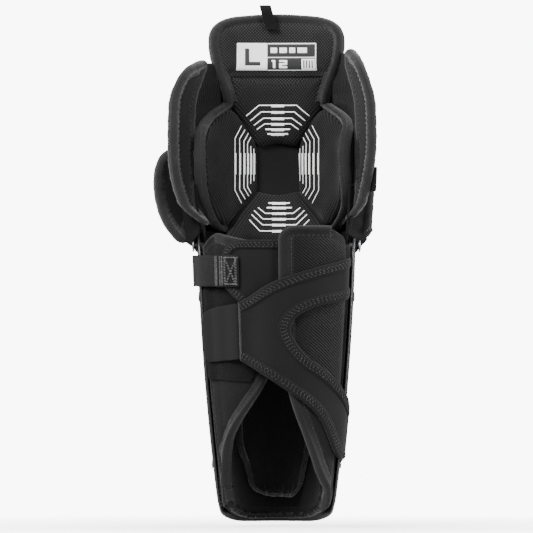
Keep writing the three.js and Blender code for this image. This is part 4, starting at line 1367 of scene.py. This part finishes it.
WRAP_TOP = [(108, 235, 6), (124, 234, 10), (146, 228.6, 14), (174, 218, 16), (188, 209.5, 14), (200, 199.4, 8), (STEM_END, 195, 1)]
WRAP_BOTTOM = [(STEM_END, 144, 1), (200, 139, 8), (187, 130, 12), (174, 118.7, 14), (156, 103.7, 14), (144, 88.6, 12), (134, 68, 12), (126, 57, 8), (108, 54, 6)]
WRAP_FORK = [(108, 100, 4), (124, 117, 10), (144, 135.6, 14), (158, 145, 10), (168, 160, 12), (172, 172, 12), (168, 183, 10), (156, 191.5, 10), (140, 195.4, 12), (108, 201, 4)]


def build_wrap():
    corners = [(103.5, 56, 3), (103.5, 101, 3), *WRAP_FORK, (108, 235, 1), *WRAP_TOP[1:], *WRAP_BOTTOM[:-1]]
    loop = outline(*corners, step=1.3)
    cloth = patch(
        "calf_wrap_cloth", loop, leg, lambda a, z, d: wrap_face(a, z) + 0.1, lambda a, z, d: wrap_face(a, z) + WRAP_THICK - 0.3,
        M["neoprene"], step=2.6, edge=0.9,
    )
    declare(cloth, "wrap", "neoprene", "calf_wrap")
    face = lambda a, z: wrap_face(a, z) + WRAP_THICK - 0.4
    for name, corners in (("wrap_top", WRAP_TOP), ("wrap_bottom", WRAP_BOTTOM), ("wrap_fork", WRAP_FORK)):
        hem(name, resample(rounded(corners, False), 1.0, False), loop, leg, face, 8.5, M["neoprene"], "wrap", "neoprene")
    seam = resample(np.array([(STEM_END - 0.3, 144.5), (STEM_END - 0.3, 195.0)]), 1.0, False)
    ridge = sweep("wrap_seam", seam, leg, lambda a, z: wrap_in(a) + WRAP_THICK - 0.4, tape(1.8, 2.4), M["binding"], closed=False)
    declare(ridge, "wrap", "neoprene")


def tab_in(a):
    start = wrap_in(np.array(STEM_END))
    return start + (10.2 - start) * smooth(STEM_END, 226, a) + lift(360 - a)


def build_tab():
    loop = outline((STEM_END + 0.8, 145, 1), (STEM_END + 0.8, 194, 1), (240, 190, 8), (250, 186, 5), (253, 178, 5), (253, 149, 4), (248, 142, 5), step=1.2)
    tab = patch("hook_tab_cloth", loop, leg, lambda a, z, d: tab_in(a) + 0.1, lambda a, z, d: tab_in(a) + 1.8, M["neoprene"], step=2.2, edge=0.8)
    declare(tab, "tab", "neoprene", "hook_tab")


def ruled(name, first, second, start, end, material, bow=0.0, thick=1.6, steps=14):
    """A gusset: cloth between two lines, bowed a little and baked in place. start and end are not used."""
    count = max(len(first), len(second))
    run = np.linspace(0, 1, count)
    ends = []
    for line in (first, second):
        share = np.linspace(0, 1, len(line))
        ends.append(np.stack([np.interp(run, share, line[:, k]) for k in range(3)], 1))
    a, b = ends
    across = np.linspace(0, 1, steps)
    grid = a[:, None] * (1 - across)[None, :, None] + b[:, None] * across[None, :, None]
    du = np.gradient(grid, axis=1)
    dv = np.gradient(grid, axis=0)
    normal = np.cross(du, dv)
    normal = normal / np.maximum(np.linalg.norm(normal, axis=-1, keepdims=True), 1e-9)
    waves = 0.5 * np.sin(run * 31)[:, None] * np.sin(across * math.pi)[None, :]
    grid = grid + normal * ((bow * np.sin(across * math.pi))[None, :] + waves)[..., None]
    top, bottom = grid + normal * thick / 2, grid - normal * thick / 2
    n = count * steps
    points = np.concatenate([top.reshape(-1, 3), bottom.reshape(-1, 3)])
    long = np.linalg.norm(b - a, axis=1).mean()
    high = np.linalg.norm(np.diff(a, axis=0), axis=1).sum()
    uv = np.stack([np.tile(across * long, count), np.repeat(run * high, steps)], 1)
    faces = []
    for i in range(count - 1):
        for j in range(steps - 1):
            k = i * steps + j
            faces.append((k, k + 1, k + steps + 1, k + steps))
            faces.append((n + k, n + k + steps, n + k + steps + 1, n + k + 1))
    for i in range(count - 1):
        for k in (i * steps, i * steps + steps - 1):
            faces.append((k, k + steps, n + k + steps, n + k))
    for j in range(steps - 1):
        for k in (j, (count - 1) * steps + j):
            faces.append((k, k + 1, n + k + 1, n + k))
    piece = make_mesh(name, points, faces, np.concatenate([uv, uv]), material)
    tuple(np.array(start) * MM)
    tuple(np.array(end) * MM)
    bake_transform(piece)
    return piece


def build_gussets():
    """Cloth that joins each wing to the knee bucket."""
    for side, word, place in ((-1, "outer", KNEE_WING_OUTER), (1, "inner", KNEE_WING_INNER)):
        top = 407 if side < 0 else 416
        z = np.linspace(247, top, 80)
        edge = np.interp(z, [247, 264, 270, 286, 304, 340, 353, 363, 371.5, 380, 391, 410], [80, 78, 76, 84, 90, 90, 84, 65, 45, 39, 40, 50])
        near = knee(side * edge, z, 7.6 + 4.8 * smooth(389, 397, z))
        far = place(np.full(80, 13.0), np.maximum(z, 265 if side < 0 else 270), np.full(80, 0.0))
        ruled(f"knee_wing_{word}_gusset", near, far, near[40], far[40], M["rib"])
    for side, word, place, bottom in ((-1, "outer", SIDE_WING_OUTER, 243.5), (1, "inner", SIDE_WING_INNER, 235)):
        z = np.linspace(bottom, 300, 30)
        level = np.interp(z, [235, 250, 256], [9.6 if side > 0 else 15.1, 15.1, 8.0])
        near = knee(side * np.interp(z, [250, 256], [88, 97]), z, level)
        far = place(np.full(30, 26.0), np.clip(z, 250, 300), np.full(30, 0.0))
        ruled(f"side_wing_{word}_gusset", near, far, near[14], far[14], M["nylon"])
    z = np.linspace(16, 246, 60)
    near, far = leg(np.full(60, 261.0), z, np.full(60, 8.9)), leg(np.full(60, OUTER_ROOT - 2), z, np.full(60, 9.2))
    ruled("calf_wing_outer_gusset", near, far, near[30], far[30], M["nylon"], steps=4)
    near, far = leg(np.full(60, 99.0), z, np.full(60, 8.9)), leg(np.full(60, ROOT + 2), z, 5.6 + 3.6 * (1 - smooth(38, 50, z)))
    ruled("calf_wing_inner_gusset", near, far, near[30], far[30], M["nylon"], steps=4)


def liner_curl(z):
    return 6 * (1 - smooth(22, 34, z))


def lift(a):
    """The calf wings' roots stand out to the shell's edge."""
    return 4 * (1 - smooth(ROOT, 121, a))


# ---- Everything -----------------------------------------------------------------------------------
make_camera()
make_studio()
build_shin_shell()
build_shin_lining()
build_liner()
build_knee_shell()
build_bucket()
build_pads()
build_thigh_flap()
build_loop()
build_wings()
build_gussets()
build_calf_outer()
build_calf_inner()
build_strap()
build_webbing()
build_wrap()
build_tab()
